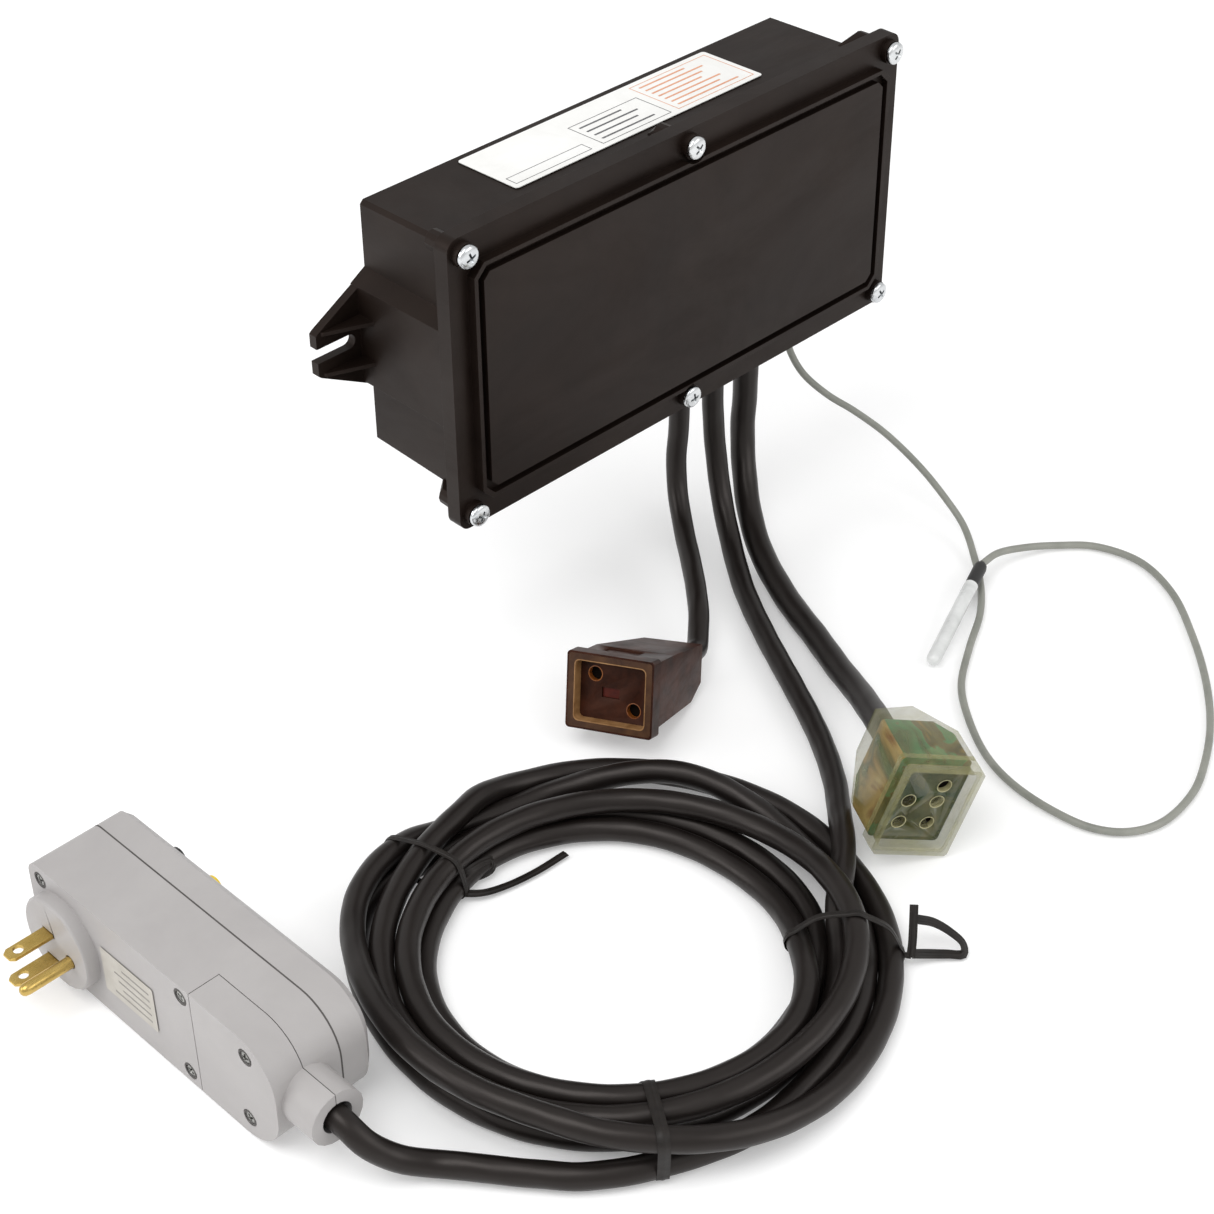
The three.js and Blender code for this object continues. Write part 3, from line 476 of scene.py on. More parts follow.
# ------------------------------------------------------------------ cords (routes are the CAD routes, in millimetres)
MAINS = [[45.2, -34.0, -79.5], [45.4, -34.1, -91.5], [45.5, -34.8, -103.5], [44.7, -37.0, -115.3], [42.5, -41.1, -126.4], [39.0, -47.0, -136.2], [34.1, -54.9, -143.9], [28.2, -63.9, -149.2], [21.6, -73.4, -152.3], [15.0, -83.3, -154.2], [8.7, -93.5, -154.9], [2.6, -103.8, -155.1], [-3.4, -114.3, -155.3], [-9.2, -124.8, -155.3], [-15.0, -135.4, -155.2], [-20.8, -145.9, -155.2], [-26.7, -156.4, -155.1], [-32.9, -166.7, -154.9], [-39.6, -176.7, -154.4], [-46.9, -186.2, -153.3], [-54.6, -195.3, -151.8], [-62.9, -203.8, -150.2], [-71.3, -212.0, -148.2], [-79.7, -220.5, -146.1], [-88.6, -228.6, -145.9], [-98.2, -235.9, -146.2], [-107.8, -242.4, -148.9], [-115.8, -250.5, -151.9], [-124.5, -258.6, -153.8], [-134.2, -265.5, -154.8], [-144.7, -271.0, -155.1], [-156.1, -274.8, -155.2], [-167.8, -277.3, -155.2], [-179.7, -278.3, -155.2], [-191.6, -277.7, -155.2], [-203.4, -275.6, -155.2], [-214.8, -272.2, -155.2], [-225.6, -267.2, -155.2], [-235.6, -260.8, -155.2], [-244.3, -252.8, -155.2], [-251.6, -243.4, -155.2], [-257.5, -233.1, -155.2], [-261.8, -222.0, -155.2], [-264.5, -210.4, -155.2], [-265.8, -198.6, -155.2], [-265.5, -186.6, -155.2], [-264.0, -174.8, -155.2], [-261.0, -163.1, -155.2], [-256.9, -151.8, -155.2], [-251.7, -141.0, -155.2], [-245.3, -131.0, -155.2], [-237.4, -122.2, -155.2], [-228.0, -115.3, -155.2], [-217.2, -111.1, -155.2], [-205.8, -110.1, -155.2], [-194.2, -111.4, -155.2], [-182.5, -113.8, -155.2], [-170.9, -117.1, -155.2], [-159.5, -120.8, -155.2], [-148.4, -125.2, -155.2], [-138.2, -131.1, -155.2], [-129.0, -138.7, -155.2], [-121.1, -147.5, -155.2], [-114.6, -157.5, -155.2], [-109.7, -168.3, -155.2], [-106.5, -179.8, -155.2], [-104.9, -191.6, -155.2], [-104.9, -203.5, -155.2], [-106.5, -215.3, -155.2], [-109.9, -226.5, -155.2], [-115.3, -236.8, -155.2], [-122.9, -245.5, -155.2], [-131.8, -253.0, -155.2], [-141.5, -259.3, -155.2], [-152.2, -263.9, -155.2], [-163.4, -266.9, -155.2], [-174.9, -268.4, -155.2], [-186.6, -267.5, -155.2], [-198.1, -264.6, -155.2], [-209.0, -259.9, -155.2], [-219.0, -253.6, -155.2], [-228.0, -245.8, -155.2], [-235.6, -236.7, -155.2], [-241.6, -226.5, -155.2], [-245.8, -215.4, -155.2], [-248.1, -203.8, -155.2], [-248.3, -192.0, -155.2], [-246.4, -180.3, -155.2], [-242.5, -169.1, -155.2], [-236.7, -158.8, -155.2], [-229.2, -149.7, -155.2], [-220.1, -142.0, -155.2], [-210.0, -135.8, -155.2], [-199.2, -130.9, -155.2], [-187.8, -127.8, -155.2], [-176.1, -127.2, -155.2], [-164.5, -129.1, -155.2], [-153.5, -133.3, -155.2], [-143.3, -139.2, -155.2], [-134.3, -146.9, -155.2], [-126.8, -156.0, -155.2], [-121.2, -166.4, -155.2], [-117.5, -177.7, -155.2], [-115.6, -189.4, -155.2], [-115.2, -201.3, -155.1], [-116.4, -213.1, -154.7], [-119.6, -224.4, -153.7], [-124.9, -234.8, -151.7], [-131.6, -244.2, -149.0], [-138.8, -253.4, -146.8], [-147.0, -261.9, -146.0], [-156.8, -268.5, -146.1], [-167.7, -272.6, -146.0], [-179.4, -274.0, -146.0], [-191.2, -273.2, -146.0], [-202.6, -270.3, -146.0], [-213.6, -265.6, -146.0], [-223.6, -259.3, -146.0], [-232.6, -251.5, -146.0], [-240.3, -242.5, -146.0], [-246.7, -232.4, -146.0], [-251.5, -221.5, -146.0], [-254.6, -210.1, -146.0], [-255.7, -198.3, -146.0], [-255.0, -186.5, -146.0], [-252.1, -175.2, -146.0], [-247.1, -164.5, -146.0], [-240.6, -154.6, -146.0], [-232.8, -145.9, -146.0], [-223.4, -138.7, -146.0], [-213.0, -132.9, -146.0], [-201.9, -128.7, -146.0], [-190.2, -126.2, -146.0], [-178.4, -125.4, -145.9], [-166.6, -126.5, -146.0], [-155.0, -129.4, -146.0], [-144.1, -134.1, -146.0], [-133.9, -140.2, -146.0], [-124.7, -147.8, -146.0], [-116.7, -156.6, -145.9], [-110.1, -166.4, -145.9], [-104.9, -177.1, -145.9], [-101.4, -188.5, -145.6], [-99.7, -200.2, -144.7], [-100.0, -211.9, -143.1], [-101.9, -223.5, -141.2], [-105.4, -234.6, -139.1], [-109.7, -245.8, -138.9], [-115.6, -256.0, -139.4], [-123.5, -264.6, -140.6], [-133.0, -271.4, -141.9], [-143.7, -276.6, -142.6], [-155.0, -280.3, -142.8], [-166.7, -282.5, -142.9], [-178.6, -283.2, -142.9], [-190.5, -282.5, -142.9], [-202.2, -280.2, -143.1], [-213.4, -276.3, -143.4], [-224.0, -270.9, -143.9], [-233.7, -264.0, -144.5], [-242.2, -255.8, -145.1], [-249.6, -246.4, -145.5], [-255.7, -236.2, -145.7], [-260.3, -225.2, -145.7], [-263.5, -213.7, -145.7], [-265.1, -201.9, -145.7], [-264.9, -190.0, -145.8], [-262.9, -178.3, -145.9], [-259.1, -167.1, -146.2], [-253.5, -156.7, -146.6], [-246.7, -147.0, -146.4], [-238.7, -138.3, -146.1], [-229.6, -130.7, -145.9], [-219.5, -124.2, -145.7], [-208.8, -119.0, -145.5], [-197.6, -114.8, -145.3], [-186.0, -111.6, -145.5], [-174.4, -109.0, -145.8], [-162.5, -106.1, -146.9], [-150.7, -105.1, -150.4], [-139.4, -106.8, -153.2], [-128.3, -110.4, -154.6], [-118.0, -116.1, -155.1], [-108.9, -123.6, -155.2], [-100.8, -132.3, -155.2], [-93.8, -142.0, -155.2], [-88.1, -152.5, -155.2], [-83.5, -163.5, -155.2], [-80.1, -175.0, -155.2], [-78.1, -186.7, -155.2], [-77.6, -198.6, -155.2], [-78.8, -210.5, -155.2], [-81.6, -222.1, -155.2], [-85.5, -233.4, -155.2], [-90.3, -244.5, -155.2], [-96.4, -254.8, -155.2], [-103.9, -264.2, -155.2], [-112.8, -272.7, -155.2], [-122.3, -280.0, -155.2], [-132.6, -286.1, -155.1], [-143.6, -290.9, -154.8], [-155.0, -294.6, -154.2], [-166.7, -297.0, -153.3], [-178.5, -298.2, -151.9], [-190.2, -297.9, -150.1], [-201.9, -296.2, -148.0], [-213.1, -292.9, -145.8], [-223.7, -287.9, -143.7], [-233.3, -281.3, -141.9], [-242.1, -273.4, -140.4], [-249.6, -264.3, -139.4], [-255.5, -254.0, -138.7], [-260.3, -243.0, -138.4], [-264.6, -231.8, -138.3], [-268.0, -220.4, -138.3], [-270.1, -208.6, -138.2], [-270.7, -196.7, -138.1], [-269.8, -184.8, -138.0], [-267.3, -173.1, -138.3], [-263.4, -161.9, -139.3], [-258.5, -150.9, -141.0], [-252.7, -140.5, -143.0], [-246.0, -130.7, -144.7], [-238.3, -121.8, -145.6], [-229.1, -114.4, -145.8], [-218.6, -109.1, -146.0], [-207.3, -105.7, -147.0], [-195.6, -103.7, -149.5], [-184.5, -103.9, -152.9], [-173.2, -106.6, -154.9], [-161.9, -110.2, -155.2], [-150.4, -113.5, -155.1], [-139.1, -117.2, -154.2], [-128.7, -122.5, -152.5], [-119.1, -129.2, -150.1], [-110.1, -136.7, -148.1], [-102.0, -145.3, -146.8], [-95.8, -155.2, -146.5], [-91.6, -166.2, -147.4], [-88.9, -177.5, -149.5], [-87.5, -189.1, -151.9], [-88.0, -200.8, -153.7], [-89.7, -212.6, -154.7], [-92.5, -224.1, -155.1], [-96.4, -235.3, -155.2], [-101.9, -246.1, -155.2], [-109.0, -255.9, -155.2], [-117.5, -264.5, -155.2], [-127.3, -271.9, -155.2], [-137.9, -278.1, -155.2], [-149.0, -282.6, -155.2], [-160.7, -285.6, -155.2], [-172.6, -287.7, -155.2], [-184.5, -289.1, -155.2], [-196.5, -289.2, -155.2], [-208.2, -287.6, -155.2], [-219.6, -284.1, -155.2], [-230.6, -279.4, -155.2], [-241.4, -274.0, -155.2], [-251.5, -267.6, -155.2], [-260.7, -259.8, -155.2], [-268.3, -250.5, -155.2], [-275.8, -241.1, -155.1], [-283.1, -231.6, -154.7], [-290.9, -222.5, -154.2], [-299.6, -215.3, -150.1], [-306.3, -208.7, -142.7], [-308.7, -202.0, -137.2], [-309.0, -197.0, -136.0], [-309.0, -190.5, -136.0]]
PUMP = [[24.4, -34, -79.5], [24.2, -34.1, -95], [22.3, -34.6, -110], [19.3, -38, -122], [14, -45.5, -131.2], [6.2, -56.4, -137], [-4.8, -70.9, -139.8], [-18.6, -87.3, -143.6], [-27.6, -95.8, -147.8], [-33.6, -100.6, -149.4], [-38.21, -102.36, -147.71], [-43.5, -103.92, -145.38], [-49.3, -105.63, -142.85]]
HEATER = [[66.6, -34, -79.5], [66.6, -34, -98], [64.6, -35, -114], [59.6, -40.6, -128], [48.9, -54.4, -142.6], [37.7, -72.1, -150.6], [24.3, -99, -154.3], [12.6, -126.3, -154.3], [0.5, -150, -151.8], [-9.5, -168.4, -147.6], [-21, -185.4, -141.6], [-30.5, -198, -136.4], [-37.4, -207, -133.4], [-42.6, -215.4, -132.4]]
SENSOR = [[92.6, -34, -71.5], [92.6, -35.5, -84], [94.6, -42.5, -96], [100.6, -52.6, -106], [109, -62.6, -114.5], [115.6, -76, -123.5], [119.4, -94, -135], [120.2, -108, -144.6], [117.4, -122, -152], [106.6, -137.7, -157.2], [94.6, -150.5, -158.3], [78.5, -162.9, -158.3], [56.5, -174.5, -158.3], [34.7, -187.6, -158.3], [21, -201.6, -158.3], [6.3, -223.2, -158.3], [0.2, -241.1, -158.3], [-1.3, -261.4, -158.3], [1.3, -278.1, -158.3], [8.7, -289.1, -158.3], [22.2, -295.8, -158.3], [45.9, -294.6, -158.3], [67, -286.4, -158.3], [87.5, -274.6, -158.3], [108.5, -258.1, -158.3], [129.2, -237.5, -158.3], [149.4, -212.3, -158.3], [157.8, -189.2, -158.3], [153.3, -168.9, -158.3], [141.4, -156.8, -157.8], [127, -149.6, -155.2], [112, -145.6, -152.6], [100, -146.4, -151.6]]


def make_cord(name, route, diameter, mat, step, sides, lay, seam):
    pts, length = catmull([V(*p) for p in route], step)
    o = tube(name, pts, diameter / 2 * MM, mat, sides=sides, lay=lay, seam=seam)
    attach(o, BODY)
    return o, pts, length


PLUG_NODES = [n for n in NODES if n.startswith("plug_")]
mains, mains_pts, mains_len = make_cord("mains_cord", MAINS, 9.5, M["cord"], 0.0028, 20, 0.012, 0.00010)
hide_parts("mains_cord_run", "mains_cord_coil", "mains_cord_tail")
pump, pump_pts, pump_len = make_cord("pump_lead", PUMP, 9.0, M["cord"], 0.0025, 20, 0.012, 0.00010)
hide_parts("pump_cord")
heater, heater_pts, heater_len = make_cord("heater_lead", HEATER, 11.1, M["cord"], 0.003, 20, 0.012, 0.00010)
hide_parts("heater_cord")
sensor, sensor_pts, sensor_len = make_cord("sensor_lead", SENSOR, 3.2, M["sensor"], 0.002, 12, 0.0, 0.00004)
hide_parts("sensor_cord")

# ------------------------------------------------------------------ box
for n, w in (("housing", 0.0005), ("front_cover", 0.00045)):
    o = refined(n, M["abs"], w, 2)
    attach(o, BODY)
for n, o in NODES.items():
    slot = {s["node"]: s["material_slot"] for s in frame["record"]["subparts"]}[n]
    table = {"abs_black": "abs", "gasket_rubber": "gasket", "zinc_steel": "zinc", "label_white": "label", "board_green": "board", "transformer_core": "core", "relay_blue": "relay", "terminal_cream": "cream", "gland_black": "gland", "cord_black": "cord", "tie_black": "tie", "plug_grey": "plug", "button_black": "btn_black", "button_yellow": "btn_yellow", "spring_steel": "spring", "blade_brass": "brass", "receptacle_amber": "amber", "contact_brass": "contact", "receptacle_clear": "clear", "sensor_grey": "sensor", "probe_grey": "sensor"}
    assign(o, M[table[slot]])
    if o.data.polygons:
        for p in o.data.polygons:
            p.use_smooth = False


def revolve(profile, segs=32):
    """Solid of revolution about Z from (radius, z) pairs that start and end on the axis."""
    bm = bmesh.new()
    rings = []
    for r, z in profile:
        if r < 1e-7:
            rings.append([bm.verts.new((0, 0, z))])
        else:
            rings.append([bm.verts.new((r * math.cos(2 * math.pi * k / segs), r * math.sin(2 * math.pi * k / segs), z)) for k in range(segs)])
    for a, b in zip(rings, rings[1:]):
        for k in range(segs):
            j = (k + 1) % segs
            if len(a) == 1 and len(b) == 1:
                continue
            if len(a) == 1:
                bm.faces.new((a[0], b[k], b[j]))
            elif len(b) == 1:
                bm.faces.new((a[k], b[0], a[j]))
            else:
                bm.faces.new((a[k], b[k], b[j], a[j]))
    return bm


def arc(r, z, dome, n=6):
    """Rounded pan of a screw head."""
    return [(r * math.sin(math.pi / 2 * i / n), z + dome * math.cos(math.pi / 2 * i / n)) for i in range(n + 1)]


def cross_tool(size, depth, w):
    """Tapered four-lobed driver recess."""
    bm = bmesh.new()
    for rot in (0, math.pi / 2):
        vs = []
        for x, y in ((-1, -1), (1, -1), (1, 1), (-1, 1)):
            vs.append((x * size, y * w, 0.0006, x * size * 0.45, y * w * 0.6, -depth))
        top = [bm.verts.new(Matrix.Rotation(rot, 3, "Z") @ Vector(v[:3])) for v in vs]
        bot = [bm.verts.new(Matrix.Rotation(rot, 3, "Z") @ Vector(v[3:])) for v in vs]
        bm.faces.new(top)
        bm.faces.new(list(reversed(bot)))
        for k in range(4):
            j = (k + 1) % 4
            bm.faces.new((top[j], top[k], bot[k], bot[j]))
    return bm


def screw_mesh(name, head_r, head_h, dome, shank_r, shank_l, recess, slot_w, mat):
    prof = [(0.0, dome)] + arc(head_r, 0.0, dome)[1:] + [(head_r, -head_h + 0.0001), (head_r * 0.96, -head_h), (shank_r, -head_h), (shank_r, -head_h - shank_l), (shank_r * 0.5, -head_h - shank_l - 0.001), (0.0, -head_h - shank_l - 0.001)]
    o = bm_obj(name, revolve(prof, 36), mat, 35)
    for rot in (0, math.pi / 2):
        bm = bmesh.new()
        pts = []
        for x, y in ((-1, -1), (1, -1), (1, 1), (-1, 1)):
            pts.append((Vector((x * recess, y * slot_w, dome + 0.0005)), Vector((x * recess * 0.35, y * slot_w * 0.6, dome - recess * 0.95))))
        R = Matrix.Rotation(rot, 3, "Z")
        top = [bm.verts.new(R @ a) for a, _ in pts]
        bot = [bm.verts.new(R @ b) for _, b in pts]
        bm.faces.new(top)
        bm.faces.new(list(reversed(bot)))
        for k in range(4):
            j = (k + 1) % 4
            bm.faces.new((top[k], bot[k], bot[j], top[j]))
        c = bm_obj("cut", bm)
        cutter(o, c)
    shade(o, 35)
    return o


def place(o, matrix):
    o.data = o.data.copy()
    o.data.transform(matrix)
    o.matrix_world = Matrix.Identity(4)
    return o


def axis_frame(origin, zdir, spin=0.0):
    z = Vector(zdir).normalized()
    x = Vector((0, 0, 1)).cross(z)
    if x.length < 1e-4:
        x = Vector((1, 0, 0))
    x.normalize()
    y = z.cross(x)
    mm = Matrix((x, y, z)).transposed().to_4x4()
    mm.translation = origin
    return mm @ Matrix.Rotation(spin, 4, "Z")


master = screw_mesh("lid_screw", 0.0046, 0.0011, 0.0014, 0.0019, 0.0165, 0.0027, 0.00052, M["zinc"])
spins = [0.35, 1.1, 0.72, 0.15, 0.9, 0.5]
k = 0
for sx, nx in ((-1, "left"), (0, "middle"), (1, "right")):
    for sz, nz in ((1, "top"), (-1, "bottom")):
        o = link(master.copy())
        o.name = f"lid_screw_{nz}_{nx}"
        place(o, axis_frame(V(sx * 118.2, -64.6, sz * 56.4), (0, -1, 0), spins[k]))
        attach(o, BODY)
        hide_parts(f"cover_screw_{nz}_{nx}")
        k += 1
bpy.data.objects.remove(master)

# strain reliefs: smooth nose with flex slots
def relief(node, x, r, nose):
    y = -34
    prof = [(0, -47.6), (r + 1.2, -47.6), (r + 1.6, -49.5), (r + 2.4, -50.0)]
    lo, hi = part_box(node)
    rr = (hi.x - lo.x) / 2 / MM
    collar = rr
    hole = (r + 1.2)
    body = [(0, -nose), (r + 0.9, -nose), (r + 1.25, -nose + 0.5)]
    z = -nose + 1.5
    seg = 0
    n = 5
    span = (nose - 61.5)
    for i in range(n):
        a = -nose + 1.5 + span * i / n
        w = r + 1.3 + (1.3) * i / n
        body += [(w, a), (w + 0.15, a + span / n * 0.55), (w - 0.55, a + span / n * 0.62), (w - 0.55, a + span / n * 0.9)]
    body += [(r + 2.7, -60.4), (collar - 0.5, -60.0), (collar, -59.4), (collar, -56.6), (collar - 0.4, -56.2), (r + 2.4 if r < 3 else collar - 2.0, -56.1), (r + 2.4 if r < 3 else collar - 2.0, -49.6), (r + 1.2, -47.6), (0, -47.6)]
    bm = revolve([(a * MM, b * MM) for a, b in body], 32)
    o = bm_obj(node + "_body", bm, M["gland"], 40)
    o.data.transform(Matrix.Translation(V(x, y, 0)))
    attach(o, BODY)
    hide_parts(node)


relief("mains_strain_relief", 45.2, 4.75, 80)
relief("pump_strain_relief", 24.4, 4.5, 80)
relief("heater_strain_relief", 66.6, 5.55, 80)
relief("sensor_strain_relief", 92.6, 1.6, 72)

# blank rating plate with rounded corners, a printed frame and plain blocks where print would be
def plate(node, corners_fn, hw, hh, r, thick, name, bars, sheet="label"):
    bm = bmesh.new()
    pts = []
    for cx, cy, a0 in ((hw - r, hh - r, 0), (-hw + r, hh - r, 90), (-hw + r, -hh + r, 180), (hw - r, -hh + r, 270)):
        for i in range(5):
            a = math.radians(a0 + 90 * i / 4)
            pts.append((cx + r * math.cos(a), cy + r * math.sin(a)))
    lo = [bm.verts.new(corners_fn(x, y, 0)) for x, y in pts]
    hi = [bm.verts.new(corners_fn(x, y, thick)) for x, y in pts]
    bm.faces.new(hi)
    bm.faces.new(list(reversed(lo)))
    n = len(pts)
    for i in range(n):
        j = (i + 1) % n
        bm.faces.new((lo[i], lo[j], hi[j], hi[i]))
    o = bm_obj(name, bm, M[sheet], 30)
    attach(o, BODY)
    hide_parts(node)
    ink = []
    for (x0, x1, y0, y1, m_) in bars:
        ink.append((x0, x1, y0, y1, m_))
    for key in sorted({b[4] for b in ink}):
        bm = bmesh.new()
        for x0, x1, y0, y1, m_ in ink:
            if m_ != key:
                continue
            a = [bm.verts.new(corners_fn(x, y, thick + 0.00002)) for x, y in ((x0, y0), (x1, y0), (x1, y1), (x0, y1))]
            b = [bm.verts.new(corners_fn(x, y, thick + 0.00006)) for x, y in ((x0, y0), (x1, y0), (x1, y1), (x0, y1))]
            bm.faces.new(b)
            bm.faces.new(list(reversed(a)))
            for i in range(4):
                j = (i + 1) % 4
                bm.faces.new((a[i], a[j], b[j], b[i]))
        q = bm_obj(name + "_" + key, bm, M[key], 30)
        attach(q, BODY)
    return o


M["ink_dark"] = plastic("ink_dark", (0.06, 0.06, 0.065), (0.13, 0.13, 0.135), 0.4, 0.5, patch=300)
M["ink_orange"] = plastic("ink_orange", (0.62, 0.26, 0.14), (0.70, 0.36, 0.22), 0.4, 0.5, patch=300)
slope = (55.05 - 53.65) / 54.1


def on_top(x, y, t):
    cx, cy = -0.75, -20.4
    X, Y = cx + x / MM, cy + y / MM
    return V(X, Y, 53.65 + slope * (-Y) + 0.32) + Vector((0, 0, t))


bars = []
# frame lines of two printed panels, no characters
def frame_bars(x0, x1, y0, y1, w, key):
    return [(x0, x1, y0, y0 + w, key), (x0, x1, y1 - w, y1, key), (x0, x0 + w, y0 + w, y1 - w, key), (x1 - w, x1, y0 + w, y1 - w, key)]


bars += [tuple([a * MM for a in b[:4]] + [b[4]]) for b in frame_bars(22, 66, -14, 14, 0.35, "ink_orange")]
for i in range(7):
    y = -11.2 + i * 3.6
    bars.append((25 * MM, (60 - (i * 7) % 11) * MM, y * MM, (y + 1.0) * MM, "ink_orange"))
bars += [tuple([a * MM for a in b[:4]] + [b[4]]) for b in frame_bars(-20, 18, -14, 6, 0.35, "ink_dark")]
for i in range(4):
    y = -10.8 + i * 4.2
    bars.append((-17 * MM, (12 - (i * 5) % 9) * MM, y * MM, (y + 1.0) * MM, "ink_dark"))
bars += [tuple([a * MM for a in b[:4]] + [b[4]]) for b in frame_bars(-66, -26, -14, -8, 0.3, "ink_dark")]
plate("rating_plate", on_top, 68.4 * MM, 16.7 * MM, 1.5 * MM, 0.00028, "rating_plate_sheet", bars)

# ------------------------------------------------------------------ plug-in shock protector
for n in ("plug_rear_housing", "plug_front_cover", "plug_wiring_cover"):
    o = refined(n, M["plug"], 0.0008 if n != "plug_wiring_cover" else 0.0005, 3, angle=40)
    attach(o, BODY)
pm = screw_mesh("case_screw", 0.0026, 0.0005, 0.0004, 0.0011, 0.002, 0.0019, 0.0005, M["zinc_dark"])
for i, (y, z) in enumerate([(-52, -118.4), (-133.8, -117.4), (-133.3, -154.3), (-168.3, -120.5), (-166.5, -151.5)], 1):
    o = link(pm.copy())
    o.name = f"case_screw_{i}"
    place(o, axis_frame(V(-321.6, y, z), (-1, 0, 0), 0.4 * i))
    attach(o, BODY)
    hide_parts(f"plug_screw_{i}")
    # dark ring round each screw head in the seam-shadow material: painted shadow in the countersink
    countersink_shadow = bm_obj(f"case_screw_countersink_shadow_{i}", revolve([(0.0026, 0.00004), (0.0026, 0.00012), (0.0033, 0.00006), (0.0033, 0.00002)], 28), M["seam"], 40)
    countersink_shadow.data.transform(axis_frame(V(-322.1, y, z), (-1, 0, 0)))
    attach(countersink_shadow, BODY)
bpy.data.objects.remove(pm)
# shadow line where the two halves of the case meet
def seam_band(node, x, ymin):
    mwn = NODES[node].matrix_world
    cloud = sorted({(round(q.y / MM, 2), round(q.z / MM, 2)) for q in (mwn @ v.co for v in NODES[node].data.vertices) if abs(q.x / MM - x) < 0.15 and q.y / MM > ymin})

    def half(ps):
        h = []
        for p in ps:
            while len(h) >= 2 and (h[-1][0] - h[-2][0]) * (p[1] - h[-2][1]) - (h[-1][1] - h[-2][1]) * (p[0] - h[-2][0]) <= 0:
                h.pop()
            h.append(p)
        return h

    hull_ = half(cloud)[:-1] + half(list(reversed(cloud)))[:-1]
    if len(hull_) < 4:
        return None
    cy = sum(p[0] for p in hull_) / len(hull_)
    cz = sum(p[1] for p in hull_) / len(hull_)
    bm = bmesh.new()
    rows = []
    for dx, out in ((-0.32, -0.5), (-0.32, 0.06), (0.32, 0.06), (0.32, -0.5)):
        row = []
        for y_, z_ in hull_:
            d_ = math.hypot(y_ - cy, z_ - cz)
            f_ = (d_ + out) / d_
            row.append(bm.verts.new(V(x + dx, cy + (y_ - cy) * f_, cz + (z_ - cz) * f_)))
        rows.append(row)
    for a_, b_ in zip(rows, rows[1:]):
        for k_ in range(len(hull_)):
            j_ = (k_ + 1) % len(hull_)
            bm.faces.new((a_[k_], a_[j_], b_[j_], b_[k_]))
    o_ = bm_obj("plug_seam", bm, M["seam"], 40)
    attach(o_, BODY)
    return o_


seam_band("plug_rear_housing", -294.0, -184.0)
for n in ("plug_blade_upper", "plug_blade_lower"):
    o = refined(n, M["brass"], 0.0002, 2)
    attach(o, BODY)
gp = bm_obj("plug_ground_pin_body", revolve([(0, 0), (0.0009, 0.0001), (0.0016, 0.0005), (0.0021, 0.0013), (0.00236, 0.0026), (0.00238, 0.004), (0.00238, 0.0348), (0, 0.0348)], 28), M["brass"], 40)
gp.data.transform(axis_frame(V(-348.7, -73.06, -140.4), (1, 0, 0)))
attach(gp, BODY)
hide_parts("plug_ground_pin")


def on_back(x, y, t):
    return V(-322.42, -101.65 + x / MM, -137 + y / MM) - Vector((t, 0, 0))


sb = []
for i in range(5):
    y = -7.6 + i * 3.4
    sb.append((-12.5 * MM, (9 - (i * 5) % 7) * MM, y * MM, (y + 0.8) * MM, "ink_soft"))
plate("plug_sticker", on_back, 15.2 * MM, 10.4 * MM, 0.8 * MM, 0.00012, "plug_sticker_sheet", sb, "sticker")

for nm, key, yy in (("test_button", "btn_black", -74.5), ("reset_button", "btn_yellow", -95.5)):
    prof = [(0, 0.0001), (0.0022, 0.0), (0.0034, 0.0001), (0.0039, 0.0004), (0.0042, 0.001), (0.0042, 0.0063), (0.0056, 0.0064), (0.0056, 0.0078), (0.0015, 0.0078), (0.0015, 0.0096), (0, 0.0096)]
    o = bm_obj(nm + "_cap", revolve(prof, 32), M[key], 40)
    o.data.transform(axis_frame(V(-277.3, yy, -121.5), (-1, 0, 0)))
    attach(o, nm)
    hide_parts(nm)

# ------------------------------------------------------------------ receptacles
def local(b, back, centre):
    B = Vector(back).normalized()
    D = Vector(b)
    D = (D - B * D.dot(B)).normalized()
    A = D.cross(B)
    mm = Matrix((A, D, B)).transposed().to_4x4()
    mm.translation = V(*centre)
    return mm


FP = local((-0.32, -0.265, -0.91), (0.884, 0.261, -0.387), (-94.8, -110.4, -132.6))
FH = local((-0.227, 0.225, -0.947), (0.472, 0.88, 0.03), (-58.7, -243.2, -133.3))


def loft(name, rings, mat, close=True, angle=30):
    """Skin over a row of closed rings of points."""
    bm = bmesh.new()
    rows = [[bm.verts.new(p) for p in ring] for ring in rings]
    c = len(rows[0])
    for a_, b_ in zip(rows, rows[1:]):
        for k_ in range(c):
            j_ = (k_ + 1) % c
            bm.faces.new((a_[k_], a_[j_], b_[j_], b_[k_]))
    if close:
        bm.faces.new(rows[0])
        bm.faces.new(list(reversed(rows[-1])))
    return bm_obj(name, bm, mat, angle)


def rrect(hw, hh, r, z, n=4):
    out = []
    for cx, cy, a0 in ((hw - r, hh - r, 0), (-hw + r, hh - r, 90), (-hw + r, -hh + r, 180), (hw - r, -hh + r, 270)):
        for i_ in range(n + 1):
            a_ = math.radians(a0 + 90 * i_ / n)
            out.append(Vector((cx + r * math.cos(a_), cy + r * math.sin(a_), z)) * MM)
    return out


def at(matrix, ring):
    return [matrix @ p for p in ring]


def circle(x, y, r, z, n=20):
    return [Vector((x + r * math.cos(2 * math.pi * i_ / n), y + r * math.sin(2 * math.pi * i_ / n), z)) * MM for i_ in range(n)]


def finish(o):
    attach(o, BODY)
    return o


def box_cut(matrix, x0, x1, y0, y1, z0, z1):
    ring0 = [Vector(v) * MM for v in ((x0, y0, z0), (x1, y0, z0), (x1, y1, z0), (x0, y1, z0))]
    ring1 = [Vector((v.x, v.y, z1 * MM)) for v in ring0]
    return loft("cut", [at(matrix, ring0), at(matrix, ring1)], None)


